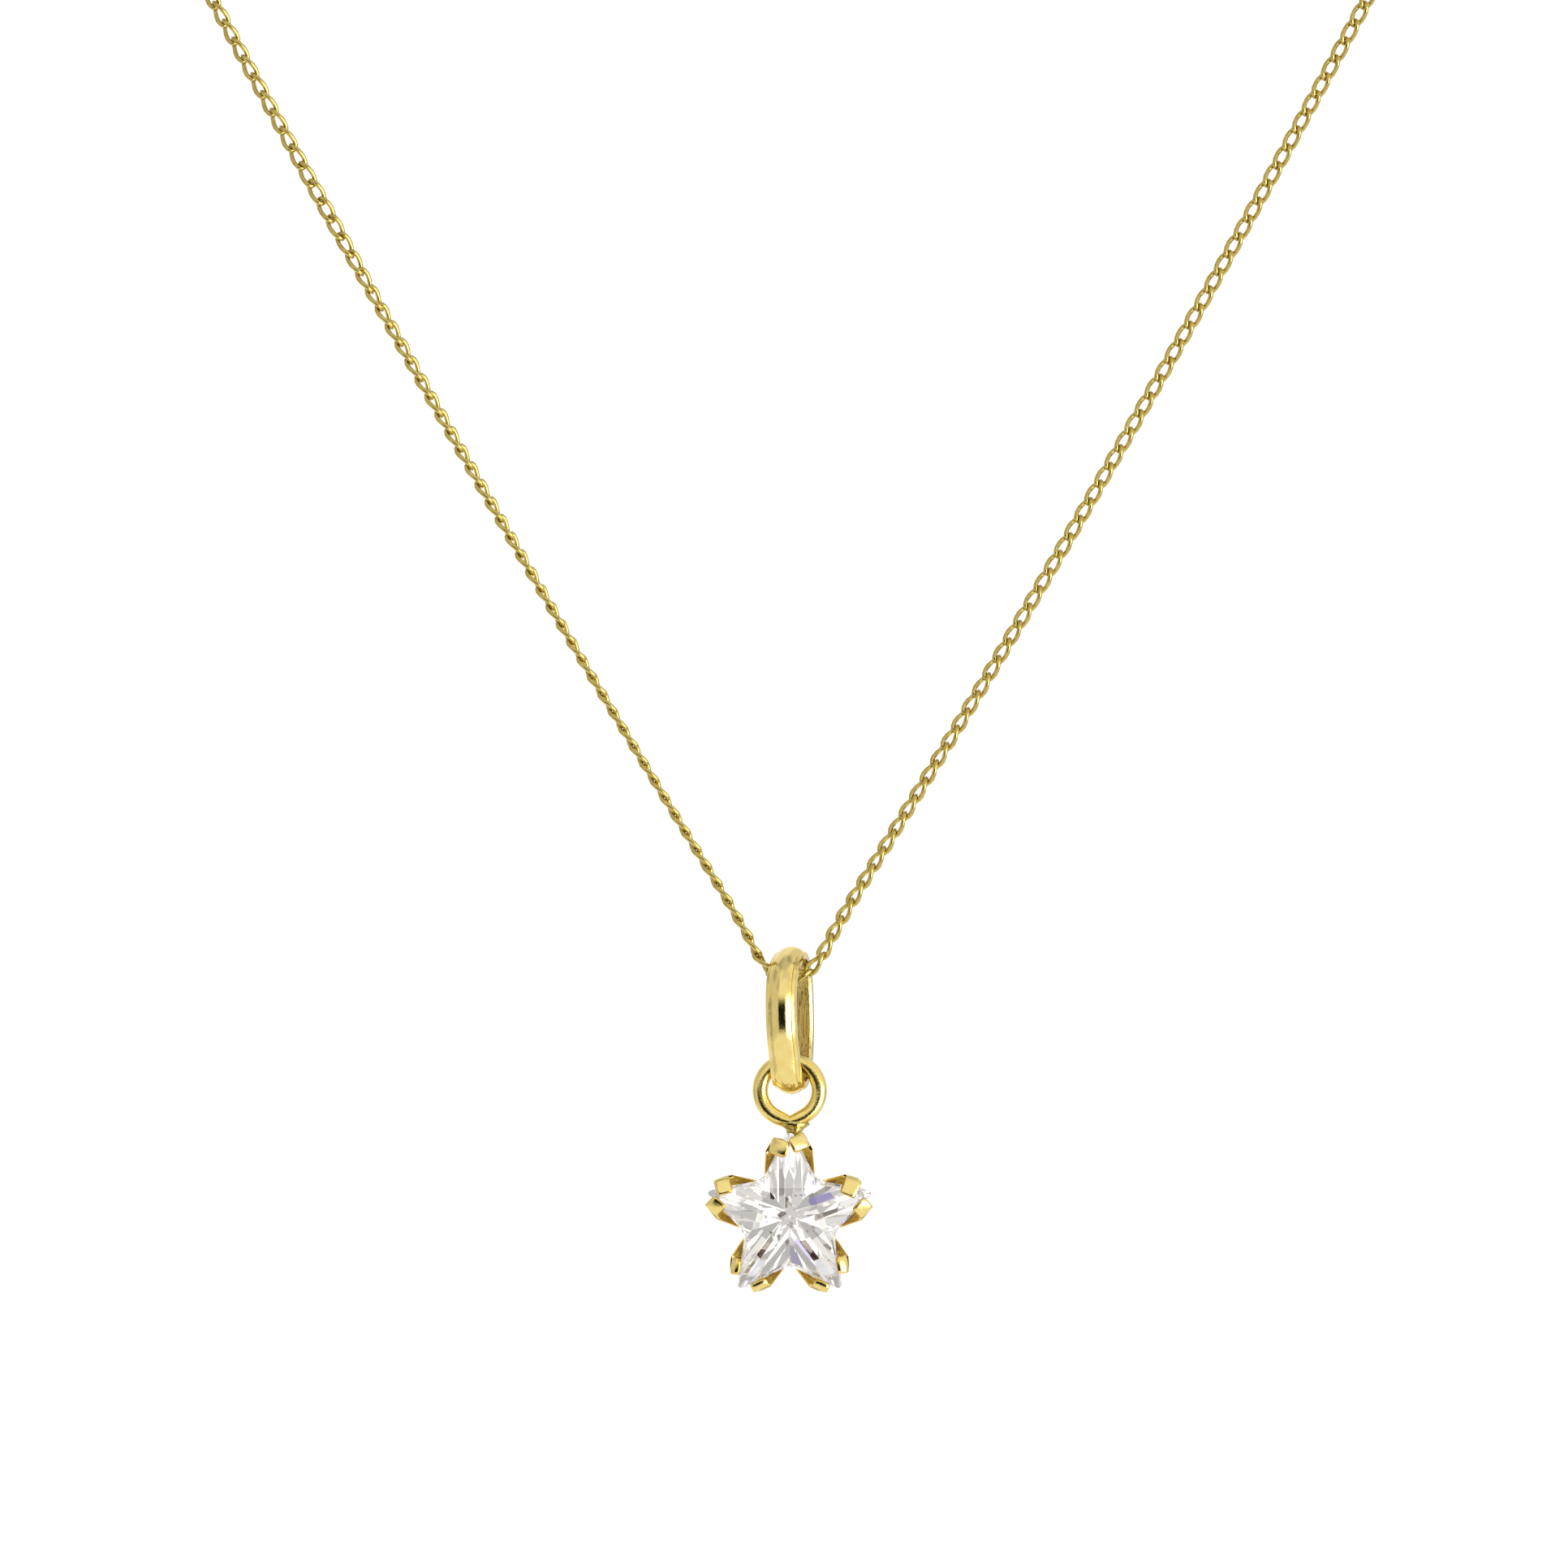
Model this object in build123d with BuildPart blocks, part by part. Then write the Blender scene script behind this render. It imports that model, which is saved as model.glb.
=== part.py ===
from build123d import *
import os
from math import atan2, cos, hypot, pi, radians, sin, tan

# Star pendant on a fine curb chain, in millimetres.
# +Z is up, the pendant's face looks along -Y, and the origin is the clasp's centre at the nape.

# Neck chain: a tube of the chain's width stands for its links.
# Each bend's radius is the share below of what its shorter run allows.
chain_width = 0.8
chain_end_gap = 0.1
bend_share = 0.45

# Right half of the chain's route, round the neck from the back and down to the bottom of the front V.
route_half = [
    (10.5, -0.6, 0.0),
    (24.0, -4.6, 0.0),
    (38.4, -14.4, -0.6),
    (48.0, -28.8, -3.0),
    (51.4, -45.1, -9.0),
    (49.4, -61.2, -20.0),
    (42.2, -71.4, -36.5),
    (32.1, -75.7, -57.2),
    (21.6, -76.0, -76.7),
    (11.7, -76.0, -94.1),
    (5.6, -76.0, -104.25),
    (2.45, -76.0, -109.35),
    (1.05, -76.0, -112.12),
]

# Clasp: a plain ring.
clasp_ring_radius = 2.2
clasp_wire = 0.9

# Bail: a band seen nearly edge on, domed outside and flat inside, that bulges to the front.
bail_height = 7.3
bail_depth = 4.28
bail_width = 1.51
bail_wall = 0.7
bail_yaw = 15.0
bail_right = 0.16
bail_back = 0.34
bail_chain_gap = 0.4
bail_rim = 0.2
bail_rim_step = 0.04
bail_edge_height = 0.4
bail_inner_chamfer = 0.12
bail_inner_chamfer_height = 0.08

# The bail's side view: points along the middle of its wall, as shares of that line's depth
# (minus is the front) and of its height.
bail_outline = [
    (-0.042, 0.5),
    (-0.319, 0.464),
    (-0.542, 0.379),
    (-0.647, 0.242),
    (-0.656, 0.061),
    (-0.589, -0.129),
    (-0.464, -0.295),
    (-0.342, -0.44),
    (-0.115, -0.5),
    (0.12, -0.44),
    (0.272, -0.295),
    (0.336, -0.091),
    (0.32, 0.136),
    (0.222, 0.348),
]

# Loop ring, soldered upright over the star, with its two ends drawn to a point.
ring_wire = 0.76
ring_gap = 0.19
bail_edge_in_ring = 0.42
ring_point_angle = 29.0
solder_radius = 0.45
neck_radius = 0.34
neck_gap = 0.25
neck_foot = 0.55
neck_depth = 1.3

# Star stone
star_tips = 5
star_tip_radius = 4.2
star_notch_radius = 2.4
star_notch_fill = 0.1
tip_half_width = 0.25
tip_round_length = 0.2
notch_round_share = 0.78
girdle_height = 0.25
crown_step_height = 0.32
crown_height = 0.5
crown_step_share = 0.9
table_share = 0.78
pavilion_depth = 2.6
head_forward = 1.0

# Points of the pavilion, as shares of the stone's radius there and of the pavilion's depth.
ridge_break = (0.55, 0.58)
valley_break = (0.62, 0.52)
valley_low_break = (0.30, 0.81)

# Star setting
setting_wall = 0.22
seat_gap = 0.08
wall_flare = 22.4
wall_rise = 0.15
culet_gap = 0.15
gallery_thickness = 0.25
gallery_bore_radius = 0.7
tip_slot_width = 0.5
tip_slot_depth = 0.9
tip_trim_depth = 1.8
notch_cut_depth = 1.15
notch_cut_clearance = 0.14
claw_width = 0.8
claw_thickness = 0.22
claw_from_tip = 0.75
claw_foot_depth = 0.9
claw_bend_height = 0.28
claw_bend_radius = 0.2
claw_reach = 0.3
claw_slope = 22.0
claw_corner_radius = 0.25

os.makedirs("parts", exist_ok=True)

# Chain tube
clasp_outer_radius = clasp_ring_radius + clasp_wire / 2
chain_start = (clasp_outer_radius + chain_end_gap, 0.0, 0.0)
right_half = [chain_start] + route_half
left_half = [(-x, y, z) for x, y, z in right_half]
route = [Vector(*point) for point in right_half + left_half[::-1]]
runs = [end - start for start, end in zip(route, route[1:])]
turns = [radians(first.get_angle(second)) for first, second in zip(runs, runs[1:])]
radii = [
    bend_share * min(before.length, after.length) / tan(turn / 2)
    for before, after, turn in zip(runs, runs[1:], turns)
]
print("chain radii, mm:", [round(radius, 2) for radius in radii])

with BuildPart() as chain:
    with BuildLine() as chain_path:
        FilletPolyline(*route, radius=radii)
    with BuildSketch(Plane(origin=chain_path.line @ 0, z_dir=chain_path.line % 0)):
        Circle(chain_width / 2)
    sweep(path=chain_path.line)
chain.part.label = "chain"

chain_length = chain_path.wire().length
tube_volume = pi * (chain_width / 2) ** 2 * chain_length
print("chain length, mm:", round(chain_length, 2))
print("with the clasp, mm:", round(chain_length + 2 * (clasp_outer_radius + chain_end_gap), 2))
print("tube volume, section x length, mm3:", round(chain.part.volume, 3), round(tube_volume, 3))

# Clasp ring, in the upright plane that faces the wearer
with BuildPart() as clasp:
    Torus(clasp_ring_radius, clasp_wire / 2, rotation=(90, 0, 0))
clasp.part.label = "clasp"

# Places on the hanging line, from the chain's lowest point down
front_y, chain_low_z = route_half[-1][1:]
bail_top_z = chain_low_z + chain_width / 2 + bail_chain_gap + bail_wall
bail_centre = Vector(bail_right, front_y + bail_back, bail_top_z - bail_height / 2)
bail_bottom_z = bail_top_z - bail_height
bail_edge_z = bail_bottom_z + bail_wall - bail_inner_chamfer_height
ring_centre = Vector(0, front_y, bail_edge_z - bail_edge_in_ring)
bail_half_span = bail_width / 2 / cos(radians(bail_yaw))
ring_bore_radius = hypot(bail_half_span, bail_edge_in_ring) + ring_gap
ring_radius = ring_bore_radius + ring_wire / 2
ring_bottom_z = ring_centre.Z - ring_radius - ring_wire / 2
star_centre = Vector(0, front_y - head_forward, ring_bottom_z - neck_gap - star_tip_radius)
star_plane = Plane(origin=star_centre, x_dir=(1, 0, 0), z_dir=(0, -1, 0))

# Bail: its section is swept along the side view's closed line.
yaw = radians(bail_yaw)
bail_plane = Plane(
    origin=bail_centre,
    x_dir=(sin(yaw), cos(yaw), 0),
    z_dir=(cos(yaw), -sin(yaw), 0),
)

with BuildPart() as bail:
    with BuildLine(bail_plane) as oval:
        Spline(
            *[
                (depth * (bail_depth - bail_wall), height * (bail_height - bail_wall))
                for depth, height in bail_outline
            ],
            periodic=True,
        )
    along = oval.line % 0
    outward = along.cross(bail_plane.z_dir)
    half_band = bail_width / 2
    inner = -bail_wall / 2
    rim_top = inner + bail_edge_height
    with BuildSketch(Plane(origin=oval.line @ 0, x_dir=outward, z_dir=along)):
        with BuildLine():
            Polyline(
                (rim_top + bail_rim_step, half_band - bail_rim),
                (rim_top, half_band - bail_rim),
                (rim_top, half_band),
                (inner + bail_inner_chamfer_height, half_band),
                (inner, half_band - bail_inner_chamfer),
                (inner, bail_inner_chamfer - half_band),
                (inner + bail_inner_chamfer_height, -half_band),
                (rim_top, -half_band),
                (rim_top, bail_rim - half_band),
                (rim_top + bail_rim_step, bail_rim - half_band),
            )
            ThreePointArc(
                (rim_top + bail_rim_step, bail_rim - half_band),
                (bail_wall / 2, 0),
                (rim_top + bail_rim_step, half_band - bail_rim),
            )
        make_face()
    sweep(path=oval.line)
bail.part.label = "bail"

# Star outline: half an arm, as (distance along the arm, distance across it).
half_turn = pi / star_tips
tip = (star_tip_radius, 0.0)
tip_shoulder = (star_tip_radius - tip_round_length, tip_half_width)
sharp_notch_radius = star_notch_radius - star_notch_fill
sharp_notch = (sharp_notch_radius * cos(half_turn), sharp_notch_radius * sin(half_turn))
notch_shoulder = tuple(
    start + notch_round_share * (end - start) for start, end in zip(tip_shoulder, sharp_notch)
)
notch = (star_notch_radius * cos(half_turn), star_notch_radius * sin(half_turn))
edge_run = tip_shoulder[0] - sharp_notch[0]
edge_spread = sharp_notch[1] - tip_shoulder[1]
edge_angle = atan2(edge_spread, edge_run)
edge_distance = tip_shoulder[0] * sin(edge_angle) + tip_shoulder[1] * cos(edge_angle)


def on_arm(arm, place, side=1, share=1.0, height=0.0):
    """A point of the star in the star plane: place is (along, across) on the numbered arm."""
    angle = pi / 2 + arm * 2 * half_turn
    along_arm = place[0] * share
    across_arm = place[1] * share * side
    return Vector(
        along_arm * cos(angle) - across_arm * sin(angle),
        along_arm * sin(angle) + across_arm * cos(angle),
        height,
    )


def star_outline(share):
    """The stone's outline in the star plane, scaled about its centre."""
    points = []
    for arm in range(star_tips):
        points.append(on_arm(arm, notch_shoulder, -1, share))
        points.append(on_arm(arm, tip_shoulder, -1, share))
        points.append(on_arm(arm, tip, 1, share))
        points.append(on_arm(arm, tip_shoulder, 1, share))
        points.append(on_arm(arm, notch_shoulder, 1, share))
        points.append(on_arm(arm, notch, 1, share))
    return points


def facet(*corners):
    """One flat facet through corners given in the star plane."""
    return Face(Wire.make_polygon([star_plane.from_local_coords(corner) for corner in corners]))


def pavilion_facets(arm, side):
    """The facets under one half of an arm, from the girdle's lower edge to the culet."""
    low = -girdle_height
    ridge_share, ridge_drop = ridge_break
    valley_share, valley_drop = valley_break
    deep_share, deep_drop = valley_low_break
    tip_point = on_arm(arm, tip, side, height=low)
    shoulder = on_arm(arm, tip_shoulder, side, height=low)
    waist = on_arm(arm, notch_shoulder, side, height=low)
    hollow = on_arm(arm, notch, side, height=low)
    ridge = on_arm(arm, tip, side, ridge_share, low - ridge_drop * pavilion_depth)
    valley = on_arm(arm, notch, side, valley_share, low - valley_drop * pavilion_depth)
    deep_valley = on_arm(arm, notch, side, deep_share, low - deep_drop * pavilion_depth)
    culet = Vector(0, 0, low - pavilion_depth)
    return [
        facet(tip_point, shoulder, ridge),
        facet(shoulder, waist, valley),
        facet(waist, hollow, valley),
        facet(shoulder, valley, deep_valley),
        facet(shoulder, deep_valley, ridge),
        facet(ridge, deep_valley, culet),
    ]


def band_facets(low_share, low_height, high_share, high_height):
    """A ring of flat facets between two scaled outlines."""
    low = [point + Vector(0, 0, low_height) for point in star_outline(low_share)]
    high = [point + Vector(0, 0, high_height) for point in star_outline(high_share)]
    count = len(low)
    return [
        facet(low[i], low[(i + 1) % count], high[(i + 1) % count], high[i]) for i in range(count)
    ]


# Star stone: table, two crown steps, girdle, and a pavilion of six facets under each half arm
stone_faces = []
for arm in range(star_tips):
    stone_faces += pavilion_facets(arm, 1) + pavilion_facets(arm, -1)
stone_faces += band_facets(1.0, -girdle_height, 1.0, 0.0)
stone_faces += band_facets(1.0, 0.0, crown_step_share, crown_step_height)
stone_faces += band_facets(crown_step_share, crown_step_height, table_share, crown_height)
table_edge = [point + Vector(0, 0, crown_height) for point in star_outline(table_share)]
stone_faces.append(facet(*table_edge))
with BuildPart() as star_stone:
    add(Solid(Shell(stone_faces)))
star_stone.part.label = "star_stone"


def wall_offset(height):
    """How far the setting's inner wall stands outside the stone's edge at a height."""
    return seat_gap + (height + girdle_height) * tan(radians(wall_flare))


def wall_share(height, extra=0.0):
    """The scale of the star outline that gives the setting's wall at a height."""
    return 1 + (wall_offset(height) + extra) / edge_distance


def on_star(point):
    """A point of the star plane as the plane's own (x, y)."""
    return (point.X, point.Y)


# One claw, lying along +X outwards from the stone's edge, with +Z to the front
claw_line_offset = claw_thickness / 2
claw_root = wall_offset(-claw_foot_depth) + claw_line_offset
claw_shoulder = wall_offset(claw_bend_height) + claw_line_offset
claw_tip_height = claw_bend_height + (claw_shoulder + claw_reach) * tan(radians(claw_slope))
with BuildPart() as claw:
    with BuildLine(Plane.XZ) as claw_path:
        FilletPolyline(
            (claw_root, -claw_foot_depth),
            (claw_shoulder, claw_bend_height),
            (-claw_reach, claw_tip_height),
            radius=claw_bend_radius,
        )
    with BuildSketch(Plane(claw_path.line @ 0, x_dir=(0, 1, 0), z_dir=claw_path.line % 0)):
        Rectangle(claw_width, claw_thickness)
    sweep(path=claw_path.line)
    tab_end = claw.faces().sort_by(Axis.X)[0]
    fillet(tab_end.edges().filter_by(Axis.Y, reverse=True), claw_corner_radius)

# Claws: two on each arm, square to the star's edge
claw_place = star_tip_radius - claw_from_tip
edge_point_v = tip_shoulder[1] + (tip_shoulder[0] - claw_place) * tan(edge_angle)
claw_planes = []
for arm in range(star_tips):
    for side in (-1, 1):
        base = on_arm(arm, (claw_place, edge_point_v), side)
        normal = on_arm(arm, (sin(edge_angle), cos(edge_angle)), side)
        claw_planes.append(Plane(origin=base, x_dir=normal, z_dir=(0, 0, 1)))

# Loop ring: half of its wire and the solder at its point, mirrored
point_lean = radians(ring_point_angle)
ring_plane = Plane(origin=ring_centre, x_dir=(1, 0, 0), z_dir=(0, -1, 0))
ring_point = (0, -ring_radius / cos(point_lean))
with BuildPart() as loop_ring:
    with BuildLine(ring_plane) as half_loop:
        half_arc = CenterArc((0, 0), ring_radius, 90, ring_point_angle - 180)
        Line(half_arc @ 1, ring_point)
    with BuildSketch(Plane(origin=half_arc @ 0, z_dir=half_arc % 0)):
        Circle(ring_wire / 2)
    sweep(path=half_loop.line)
    mirror(about=Plane.YZ)
    with Locations(ring_plane.from_local_coords(Vector(ring_point))):
        Sphere(solder_radius)

gallery_height = -girdle_height - pavilion_depth - culet_gap
claw_near_side = (claw_place - sharp_notch[0]) / cos(edge_angle) - claw_width / 2
trim_radius = claw_place + claw_width / 2 * cos(edge_angle)
notch_cut_spread = claw_near_side * cos(half_turn - edge_angle) - notch_cut_clearance

with BuildPart() as star_setting:
    # Star-shaped cup that leans outwards
    for extra, mode in ((setting_wall, Mode.ADD), (0.0, Mode.SUBTRACT)):
        with BuildSketch(star_plane.offset(wall_rise)):
            Polygon(*map(on_star, star_outline(wall_share(wall_rise, extra))), align=None)
        with BuildSketch(star_plane.offset(gallery_height)):
            Polygon(*map(on_star, star_outline(wall_share(gallery_height, extra))), align=None)
        loft(ruled=True, mode=mode)
    # Gallery: the cup's floor, open in the middle
    with BuildSketch(star_plane.offset(gallery_height)):
        Polygon(
            *map(on_star, star_outline(wall_share(gallery_height, setting_wall))), align=None
        )
        Circle(gallery_bore_radius, mode=Mode.SUBTRACT)
    extrude(amount=-gallery_thickness)
    # Slots that open the cup at each tip, and V cuts over each notch
    with BuildSketch(star_plane.offset(wall_rise)):
        with PolarLocations(star_tip_radius, star_tips, start_angle=90):
            Rectangle(star_tip_radius, tip_slot_width)
    extrude(amount=-wall_rise - tip_slot_depth, mode=Mode.SUBTRACT)
    with BuildSketch(star_plane.offset(wall_rise)):
        with PolarLocations(trim_radius, star_tips, start_angle=90):
            Rectangle(star_tip_radius, star_tip_radius, align=(Align.MIN, Align.CENTER))
    extrude(amount=-wall_rise - tip_trim_depth, mode=Mode.SUBTRACT)
    for arm in range(star_tips):
        notch_angle = pi / 2 + (2 * arm + 1) * half_turn
        radial = Vector(cos(notch_angle), sin(notch_angle), 0)
        side_on = Plane(origin=(0, 0, 0), x_dir=Vector(0, 0, 1).cross(radial), z_dir=radial)
        with BuildSketch(star_plane * side_on):
            with BuildLine():
                Polyline(
                    (0, -notch_cut_depth),
                    (notch_cut_spread, wall_rise),
                    (-notch_cut_spread, wall_rise),
                    close=True,
                )
            make_face()
        extrude(amount=star_tip_radius, mode=Mode.SUBTRACT)
    # Claws, loop ring and solder neck
    with Locations(*[star_plane * claw_plane for claw_plane in claw_planes]):
        add(claw.part)
    add(loop_ring.part)
    with BuildLine() as neck_line:
        Line(
            ring_plane.from_local_coords(Vector(ring_point)),
            star_plane.from_local_coords(Vector(0, star_tip_radius - neck_foot, -neck_depth)),
        )
    with BuildSketch(Plane(origin=neck_line.line @ 0, z_dir=neck_line.line % 0)):
        Circle(neck_radius)
    sweep(path=neck_line.line)
star_setting.part.label = "star_setting"

for piece in (chain, clasp, bail, star_setting, star_stone):
    export_step(piece.part, f"parts/{piece.part.label}.step")
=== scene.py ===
"""Star pendant on a fine curb chain: yellow gold, a clear star-cut stone and plain studio light."""

import logging
import math
from dataclasses import dataclass, field
from enum import Enum
from itertools import product
from typing import Sequence

import bmesh
import bpy
import numpy
from mathutils import Matrix, Vector, noise


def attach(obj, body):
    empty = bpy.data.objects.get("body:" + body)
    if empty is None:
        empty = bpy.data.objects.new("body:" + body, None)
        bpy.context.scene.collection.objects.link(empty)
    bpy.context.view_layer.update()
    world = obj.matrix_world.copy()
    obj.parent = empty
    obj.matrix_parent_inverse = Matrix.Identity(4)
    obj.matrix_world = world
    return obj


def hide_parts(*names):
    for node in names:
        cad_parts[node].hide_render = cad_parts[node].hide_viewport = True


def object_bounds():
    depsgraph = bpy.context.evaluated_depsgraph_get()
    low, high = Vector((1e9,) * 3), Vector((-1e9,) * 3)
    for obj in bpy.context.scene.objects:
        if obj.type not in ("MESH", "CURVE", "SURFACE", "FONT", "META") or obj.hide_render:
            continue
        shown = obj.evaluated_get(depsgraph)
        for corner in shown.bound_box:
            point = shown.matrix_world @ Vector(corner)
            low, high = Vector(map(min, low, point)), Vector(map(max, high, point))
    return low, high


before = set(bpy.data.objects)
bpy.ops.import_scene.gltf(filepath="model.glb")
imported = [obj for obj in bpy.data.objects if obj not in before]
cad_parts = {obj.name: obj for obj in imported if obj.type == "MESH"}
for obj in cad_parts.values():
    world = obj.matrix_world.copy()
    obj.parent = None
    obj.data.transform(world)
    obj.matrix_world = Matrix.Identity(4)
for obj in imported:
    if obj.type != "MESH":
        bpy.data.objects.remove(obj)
CAD_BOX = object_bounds()

LOG = logging.getLogger("star_pendant")
MM = 0.001
# Points closer than this become one, in the millimetres that the pieces are modelled in.
WELD = 1e-5

# Right half of the neck chain's route in millimetres, from the nape to the bottom of the front V.
ROUTE_HALF_MM = [
    (2.75, 0.0, 0.0),
    (10.5, -0.6, 0.0),
    (24.0, -4.6, 0.0),
    (38.4, -14.4, -0.6),
    (48.0, -28.8, -3.0),
    (51.4, -45.1, -9.0),
    (49.4, -61.2, -20.0),
    (42.2, -71.4, -36.5),
    (32.1, -75.7, -57.2),
    (21.6, -76.0, -76.7),
    (11.7, -76.0, -94.1),
    (5.6, -76.0, -104.25),
    (2.45, -76.0, -109.35),
    (1.05, -76.0, -112.12),
]


class Body(Enum):
    """The bodies that the pieces ride on."""

    NECKLACE = "necklace"
    BAIL = "bail_body"
    DROP = "drop"


class Slot(Enum):
    """The record's material slots."""

    GOLD = "gold"
    CHAIN_GOLD = "chain_gold"
    STONE = "stone"


def linear_colour(hex_code: str) -> tuple[float, float, float, float]:
    """Turn an sRGB hex code into a linear colour.

    Args:
        hex_code: Six hex digits after a hash.

    Returns:
        Linear red, green, blue and an alpha of 1.
    """
    channels = [int(hex_code[i : i + 2], 16) / 255 for i in (1, 3, 5)]
    linear = [c / 12.92 if c <= 0.04045 else ((c + 0.055) / 1.055) ** 2.4 for c in channels]
    return (linear[0], linear[1], linear[2], 1.0)


def add_node(
    tree: bpy.types.NodeTree, kind: str, inputs: dict[str | int, object] | None = None, **settings: object
) -> bpy.types.Node:
    """Add one node, set its properties and fill or link its inputs.

    Args:
        tree: Node tree that gets the node.
        kind: Blender's name of the node type.
        inputs: Socket name or number, with a value or the socket that feeds it.
        settings: Properties of the node.

    Returns:
        The new node.
    """
    node = tree.nodes.new(kind)
    for name, value in settings.items():
        setattr(node, name, value)
    for key, value in (inputs or {}).items():
        if isinstance(value, bpy.types.NodeSocket):
            tree.links.new(value, node.inputs[key])
        else:
            node.inputs[key].default_value = value
    return node


def blank_material(name: str) -> tuple[bpy.types.Material, bpy.types.NodeTree]:
    """Start a material with an empty node tree.

    Args:
        name: Name of the material.

    Returns:
        The material and its tree.
    """
    material = bpy.data.materials.new(name)
    material.use_nodes = True
    material.node_tree.nodes.clear()
    return material, material.node_tree


def even_material(name: str, sockets: dict[str | int, object]) -> bpy.types.Material:
    """Make a material that is the same all over.

    Args:
        name: Name of the material.
        sockets: Values of its surface shader, by socket name.

    Returns:
        The new material.
    """
    material, tree = blank_material(name)
    surface = add_node(tree, "ShaderNodeBsdfPrincipled", sockets).outputs["BSDF"]
    add_node(tree, "ShaderNodeOutputMaterial", {"Surface": surface})
    return material


@dataclass(frozen=True)
class GoldFinish:
    """Yellow gold, drawn or cast and then polished.

    The polish leaves fine lines along the work and small soft dents, which break up the
    reflections without taking the shine off.
    """

    name: str
    light: str
    deep: str
    line_spacing_mm: float = 0.05
    line_stretch: tuple[float, float, float] = (1.0, 1.0, 0.12)
    line_depth_mm: float = 0.0008
    dent_size_mm: float = 0.45
    dent_depth_mm: float = 0.004
    grain_size_mm: float = 0.11
    grain_depth_mm: float = 0.0036
    roughness_low: float = 0.05
    roughness_high: float = 0.16
    # Painted shade: share by which the colour darkens towards the shade colour in the grooves of the lines.
    line_shade: float = 0.0
    shade: str = "#4A3208"
    # Levels of the patterns between which the tone, the roughness and the shading of lines change.
    tone_levels: tuple[float, float] = (0.15, 0.85)
    gloss_levels: tuple[float, float] = (0.3, 0.7)
    shade_levels: tuple[float, float] = (0.5, 0.38)

    def build(self) -> bpy.types.Material:
        """Make the material.

        Returns:
            The gold, with its dents, grain and lines in relief.
        """
        material, tree = blank_material(self.name)
        place = add_node(tree, "ShaderNodeTexCoord").outputs["Object"]
        stretched = add_node(
            tree, "ShaderNodeMapping", {"Vector": place, "Scale": self.line_stretch}
        ).outputs["Vector"]
        # Dents, grain and lines, each laid over the last: place, size, depth, detail and harshness.
        layers = (
            (place, self.dent_size_mm, self.dent_depth_mm, 2.0, 0.5),
            (place, self.grain_size_mm, self.grain_depth_mm, 4.0, 0.65),
            (stretched, self.line_spacing_mm, self.line_depth_mm, 3.0, 0.6),
        )
        patterns = []
        below: dict[str | int, object] = {}
        for source, size_mm, depth_mm, detail, harshness in layers:
            pattern = add_node(
                tree,
                "ShaderNodeTexNoise",
                {"Vector": source, "Scale": 1 / (size_mm * MM), "Detail": detail, "Roughness": harshness},
            ).outputs["Fac"]
            relief = {"Height": pattern, "Distance": depth_mm * MM, "Strength": 1.0, **below}
            below = {"Normal": add_node(tree, "ShaderNodeBump", relief).outputs["Normal"]}
            patterns.append(pattern)
        dents, _, lines = patterns
        low, high = self.tone_levels
        tone = add_node(
            tree, "ShaderNodeMapRange", {"Value": dents, "From Min": low, "From Max": high}
        ).outputs["Result"]
        colour = add_node(
            tree,
            "ShaderNodeMix",
            {0: tone, 6: linear_colour(self.light), 7: linear_colour(self.deep)},
            data_type="RGBA",
        ).outputs[2]
        # Painted shade in the grooves of the lines.
        if self.line_shade:
            low, high = self.shade_levels
            grooves = add_node(
                tree,
                "ShaderNodeMapRange",
                {"Value": lines, "From Min": low, "From Max": high, "To Min": 0.0, "To Max": self.line_shade},
            ).outputs["Result"]
            colour = add_node(
                tree, "ShaderNodeMix", {0: grooves, 6: colour, 7: linear_colour(self.shade)}, data_type="RGBA"
            ).outputs[2]
        low, high = self.gloss_levels
        roughness = add_node(
            tree,
            "ShaderNodeMapRange",
            {
                "Value": lines,
                "From Min": low,
                "From Max": high,
                "To Min": self.roughness_low,
                "To Max": self.roughness_high,
            },
        ).outputs["Result"]
        surface = add_node(
            tree,
            "ShaderNodeBsdfPrincipled",
            {"Base Color": colour, "Metallic": 1.0, "Roughness": roughness, **below},
        ).outputs["BSDF"]
        add_node(tree, "ShaderNodeOutputMaterial", {"Surface": surface})
        return material


@dataclass(frozen=True)
class ZirconiaFinish:
    """Clear cubic zirconia, cut and polished: bright, heavy refraction with no colour of its own."""

    name: str = "clear_cubic_zirconia"
    tint: str = "#FCFBFA"
    ior: float = 2.05

    def build(self) -> bpy.types.Material:
        """Make the material."""
        return even_material(
            self.name,
            {
                "Base Color": linear_colour(self.tint),
                "Roughness": 0.0,
                "IOR": self.ior,
                "Transmission Weight": 1.0,
            },
        )


@dataclass(frozen=True)
class PaintedLightBacking:
    """Mirror backing on the facets under the stone, with painted light: its glow gives off light though it is
    no lamp.
    """

    name: str = "bright_painted_glow_backing"
    colour: str = "#F6F4F1"
    roughness: float = 0.03
    # Painted glow: light that the backing gives off of its own.
    glow: float = 0.28

    def build(self) -> bpy.types.Material:
        """Make the material."""
        return even_material(
            self.name,
            {
                "Base Color": linear_colour(self.colour),
                "Metallic": 1.0,
                "Roughness": self.roughness,
                "Emission Color": linear_colour(self.colour),
                "Emission Strength": self.glow,
            },
        )


@dataclass(frozen=True)
class PaperFinish:
    """Matt white backdrop paper, lit so that it burns out to white."""

    name: str = "white_backdrop_paper"
    colour: str = "#F4F3F1"
    roughness: float = 0.9
    glow: float = 0.35

    def build(self) -> bpy.types.Material:
        """Make the material."""
        return even_material(
            self.name,
            {
                "Base Color": linear_colour(self.colour),
                "Roughness": self.roughness,
                "Emission Color": linear_colour(self.colour),
                "Emission Strength": self.glow,
            },
        )


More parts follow.
